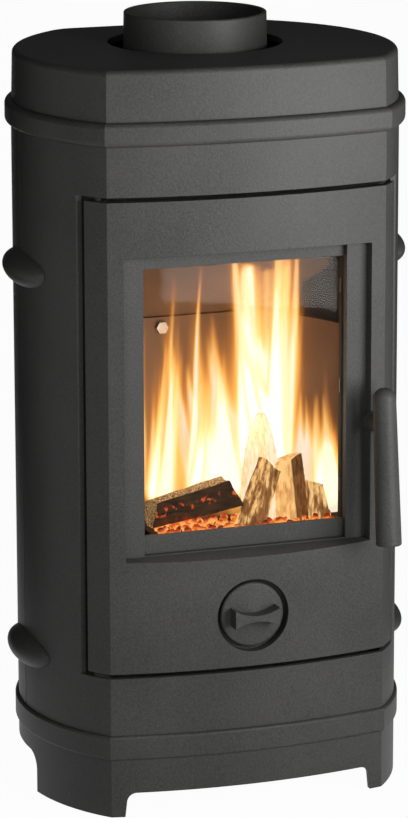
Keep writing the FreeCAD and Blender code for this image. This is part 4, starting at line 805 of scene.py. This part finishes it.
def coal_tree():
    maker = Maker(
        "coals", Width="Float", Depth="Float", Place="Vector", Spacing="Float", Coal="Float", Seed="Int")
    given = maker.given
    bed = maker.node("GeometryNodeMeshGrid", None, {
        "Size X": given["Width"], "Size Y": given["Depth"], "Vertices X": 2, "Vertices Y": 2})["Mesh"]
    laid = maker.node("GeometryNodeTransform", None, {
        "Geometry": bed, "Translation": given["Place"]})["Geometry"]
    points = maker.node("GeometryNodeDistributePointsOnFaces", {"distribute_method": "POISSON"}, {
        "Mesh": laid, "Distance Min": given["Spacing"], "Density Max": POINTS_PER_M2,
        "Seed": given["Seed"]})["Points"]
    ball = maker.node("GeometryNodeMeshIcoSphere", None, {"Radius": given["Coal"], "Subdivisions": 2})["Mesh"]
    turn = maker.node("FunctionNodeRandomValue", {"data_type": "FLOAT_VECTOR"}, {
        "Max": (math.tau, math.tau, math.tau), "Seed": given["Seed"]})["Value"]
    size = maker.node("FunctionNodeRandomValue", {"data_type": "FLOAT_VECTOR"}, {
        "Min": COAL_SMALLEST, "Max": COAL_LARGEST, "Seed": given["Seed"] + 1})["Value"]
    coals = maker.node("GeometryNodeInstanceOnPoints", None, {
        "Points": points, "Instance": ball, "Rotation": turn, "Scale": size})["Instances"]
    real = maker.node("GeometryNodeRealizeInstances", None, {"Geometry": coals})["Geometry"]
    lumps = maker.node("ShaderNodeTexNoise", {"noise_dimensions": "3D"}, {
        "Scale": COAL_LUMPS, "Detail": 1.0})["Color"]
    centred = maker.vector("SUBTRACT", lumps, (0.5, 0.5, 0.5))
    push = maker.vector("SCALE", centred, Scale=given["Coal"] * COAL_LUMP_SHARE)
    rough = maker.node("GeometryNodeSetPosition", None, {"Geometry": real, "Offset": push})["Geometry"]
    maker.close(rough, glowing_coal())
    return maker


coal_mesh = coal_tree().mesh(
    "coals", Width=0.205, Depth=0.066, Place=(0.040, -0.010, HEARTH_TOP * MM + COAL_RADIUS * COAL_SEAT),
    Spacing=0.010, Coal=COAL_RADIUS, Seed=5)
add_piece("coals", coal_mesh, "casing")

# %% [markdown]
# ## Rope seals
# A glass-fibre rope lies in a groove round the back of the door, and a thin woven tape beds the glass.
# The CAD model has plain rings for them. Here one tree lays strands round a rectangle: each strand winds
# round the path as a helix, so that a round helix gives a rope and a flat one gives a tape.
# The turns are counted whole, so that every strand meets its own beginning.

# %% Rope finish
ROPE_STOPS = ((0.35, (0.026, 0.025, 0.024)), (0.65, (0.085, 0.082, 0.078)))
ROPE_FIBRES, ROPE_SOOT, FIBRE_SHARE = 2200, 45, 0.6
ROPE_ROUGH, ROPE_SHEEN, FIBRE_DEPTH = 0.92, 0.15, 0.0003


def rope_finish():
    finish = Finish("glass_fibre_rope")
    fibre = finish.speckle(ROPE_FIBRES, detail=3)
    soot = finish.speckle(ROPE_SOOT, detail=3)
    return finish.shade(
        Base_Color=finish.ramp(fibre * FIBRE_SHARE + soot * (1 - FIBRE_SHARE), ROPE_STOPS),
        Roughness=ROPE_ROUGH,
        Specular_IOR_Level=ROPE_SHEEN,
        Normal=finish.bump(fibre, FIBRE_DEPTH),
    )


# %% Strands round a rectangle
CORNER_POINTS, STRAND_SIDES = 6, 6
UPRIGHT = (math.pi / 2, 0, 0)


def strand_tree(strands):
    maker = Maker(
        "strands", Width="Float", Height="Float", Corner="Float", Place="Vector", Turn_Length="Float",
        Step="Float", Half_Width="Float", Half_Depth="Float", Strand="Float")
    given = maker.given
    sharp = maker.node("GeometryNodeCurvePrimitiveQuadrilateral", None, {
        "Width": given["Width"], "Height": given["Height"]})["Curve"]
    rounded = maker.node("GeometryNodeFilletCurve", {"mode": "POLY"}, {
        "Curve": sharp, "Count": CORNER_POINTS, "Radius": given["Corner"]})["Curve"]
    stood = maker.node("GeometryNodeTransform", None, {
        "Geometry": rounded, "Rotation": UPRIGHT, "Translation": given["Place"]})["Geometry"]
    path = maker.node("GeometryNodeResampleCurve", {"mode": "LENGTH"}, {
        "Curve": stood, "Length": given["Step"]})["Curve"]
    profile = maker.node("GeometryNodeCurvePrimitiveCircle", None, {
        "Resolution": STRAND_SIDES, "Radius": given["Strand"]})["Curve"]
    turns = maker.node("GeometryNodeSplineParameter")["Length"] / given["Turn Length"]
    tangent = maker.node("GeometryNodeInputTangent")["Tangent"]
    across = maker.vector("CROSS_PRODUCT", tangent, (0, 1, 0))
    joined = maker.tree.nodes.new("GeometryNodeJoinGeometry")
    for strand in range(strands):
        angle = turns * math.tau + math.tau * strand / strands
        wide = maker.number("COSINE", angle) * given["Half Width"]
        deep = maker.number("SINE", angle) * given["Half Depth"]
        inwards = maker.node("ShaderNodeCombineXYZ", None, {"Y": deep})["Vector"]
        away = maker.vector("ADD", maker.vector("SCALE", across, Scale=wide), inwards)
        wound = maker.node("GeometryNodeSetPosition", None, {"Geometry": path, "Offset": away})["Geometry"]
        tube = maker.node("GeometryNodeCurveToMesh", None, {"Curve": wound, "Profile Curve": profile})["Mesh"]
        maker.feed(joined.inputs["Geometry"], tube)
    maker.close(Wire(maker, joined.outputs["Geometry"]), rope)
    return maker


def lay_strands(node, strands, half_width, strand, turn_length, steps, corner):
    """Winds strands along the middle of a CAD ring and inside its box."""
    low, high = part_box(node)
    width, height = high.x - low.x - 2 * half_width, high.z - low.z - 2 * half_width
    round_trip = 2 * (width + height) - 8 * corner + math.tau * corner
    whole_turn = round_trip / round(round_trip / turn_length)
    mesh = strand_tree(strands).mesh(
        node + "_strands", Width=width, Height=height, Corner=corner, Place=(low + high) / 2,
        Turn_Length=whole_turn, Step=whole_turn / steps, Half_Width=half_width - strand,
        Half_Depth=(high.y - low.y) / 2 - strand, Strand=strand)
    mesh.shade_smooth()
    add_piece(node + "_strands", mesh, "door", [node])


# %% Wind the rope and weave the tape
rope = rope_finish()
lay_strands(
    "door_seal", strands=4, half_width=0.0037, strand=0.0021, turn_length=0.022, steps=14, corner=0.006)
lay_strands(
    "glass_gasket", strands=5, half_width=0.00225, strand=0.00055, turn_length=0.009, steps=10, corner=0.003)

# %% [markdown]
# ## Studio
# The stove stands on a wide pale floor, which fills the whole picture and looks white to the eye and in
# mirrors. The room beyond it is dim, and white only to the eye, so that other views have no horizon.
# The paint is dark with a broad sheen, so what it mirrors matters more than what falls on it. One broad
# lamp stands at the right, with its middle below the lid: the front mirrors it and brightens to the right,
# while the lid's top, which mirrors the dark room above, stays dark. A weaker lamp on the camera's side
# fills the left, a narrow one picks out the collar, and a warm one in the fire lights the linings.

# %% Lamps
FIRELIGHT = (1.0, 0.72, 0.48)


def lamp(name, kind, place, aim, watts, colour=WHITE, **sizes):
    light = bpy.data.lights.new(name, kind)
    light.energy = watts
    light.color = colour
    for field, value in sizes.items():
        setattr(light, field, value)
    made = bpy.data.objects.new(name, light)
    made.location = place
    made.rotation_euler = (Vector(aim) - Vector(place)).to_track_quat("-Z", "Y").to_euler()
    bpy.context.scene.collection.objects.link(made)
    print(f"{name}: {watts} W")


lamp("key", "AREA", place=(0.66, -1.15, 0.70), aim=(0, -0.1, 0.70), watts=10.6, size=0.8, spread=2.2)
lamp("fill", "AREA", place=(-0.85, -1.5, 1.05), aim=(0, -0.1, 0.68), watts=8.0, size=0.9)
lamp("crown", "SPOT", place=(0.45, -1.3, 1.10), aim=(0.0, 0.0, 0.84), watts=18.0,
     spot_size=0.30, spot_blend=0.8, shadow_soft_size=0.15)
lamp("fire_glow", "SPOT", place=(0.05, -0.045, 0.40), aim=(0.02, 0.17, 0.52), watts=1.2, colour=FIRELIGHT,
     spot_size=2.7, spot_blend=1.0, shadow_soft_size=0.03)

# %% The room
WORLD_LIGHT = 0.07
SEEN_WHITE = 0.97

world = bpy.data.worlds.new("studio")
world.use_nodes = True
bpy.context.scene.world = world
room = Board(world.node_tree)
dim, bright = (
    room.node("ShaderNodeBackground", None, {"Color": (*WHITE, 1), "Strength": strength})["Background"]
    for strength in (WORLD_LIGHT, SEEN_WHITE)
)
to_the_eye = room.node("ShaderNodeLightPath")["Is Camera Ray"]
sky = room.node("ShaderNodeMixShader", None, {"Fac": to_the_eye, 1: dim, 2: bright})["Shader"]
room.node("ShaderNodeOutputWorld", None, {"Surface": sky})

# %% The floor
FLOOR_PALE = (0.50, 0.50, 0.50, 1)
FLOOR_SIDE = 30.0


def stage_card(name, corners, finish):
    """A flat card of the studio, given by its corners."""
    mesh = bpy.data.meshes.new(name)
    mesh.from_pydata(corners, [], [tuple(range(len(corners)))])
    mesh.materials.append(finish)
    card = bpy.data.objects.new(name, mesh)
    bpy.context.scene.collection.objects.link(card)
    return card


def pale_floor():
    """Grey to the light that falls on it, and white to the eye, in mirrors and through glass."""
    finish = Finish("pale_floor")
    matt = finish.node("ShaderNodeBsdfDiffuse", None, {"Color": FLOOR_PALE})["BSDF"]
    white = finish.node("ShaderNodeEmission", None, {"Color": (*WHITE, 1), "Strength": 1.0})["Emission"]
    path = finish.node("ShaderNodeLightPath")
    seen = path["Is Camera Ray"].either(path["Is Glossy Ray"]).either(path["Is Transmission Ray"])
    return finish.close(finish.mix_shaders(seen * SEEN_WHITE, matt, white))


corner = FLOOR_SIDE / 2
square = [(-corner, -corner, 0), (corner, -corner, 0), (corner, corner, 0), (-corner, corner, 0)]
stage_card("floor", square, pale_floor())

# %% [markdown]
# The sides of the stove end in dark lines against the white. A photographer gets them with black flags:
# cards that stand just outside the picture, so that the paint mirrors black near its outline.
# They are hidden from the eye and from the lamps, so that they don't shade the stove or spoil other views.

# %% Black flags
FLAG_HIGH = 1.5
FLAG_BLACK = (0.004, 0.004, 0.004, 1)
FLAGS = {
    "flag_right": ((0.45, 0.00), (1.50, 2.60)),
    "flag_left": ((-0.45, 0.15), (-0.15, 2.20)),
}
flag_cloth = Finish("black_flag").shade(Base_Color=FLAG_BLACK, Roughness=1.0, Specular_IOR_Level=0.0)
for name, (near, far) in FLAGS.items():
    flag = stage_card(name, [(*near, 0), (*far, 0), (*far, FLAG_HIGH), (*near, FLAG_HIGH)], flag_cloth)
    flag.visible_camera = flag.visible_shadow = flag.visible_diffuse = False
print("flags:", ", ".join(FLAGS))
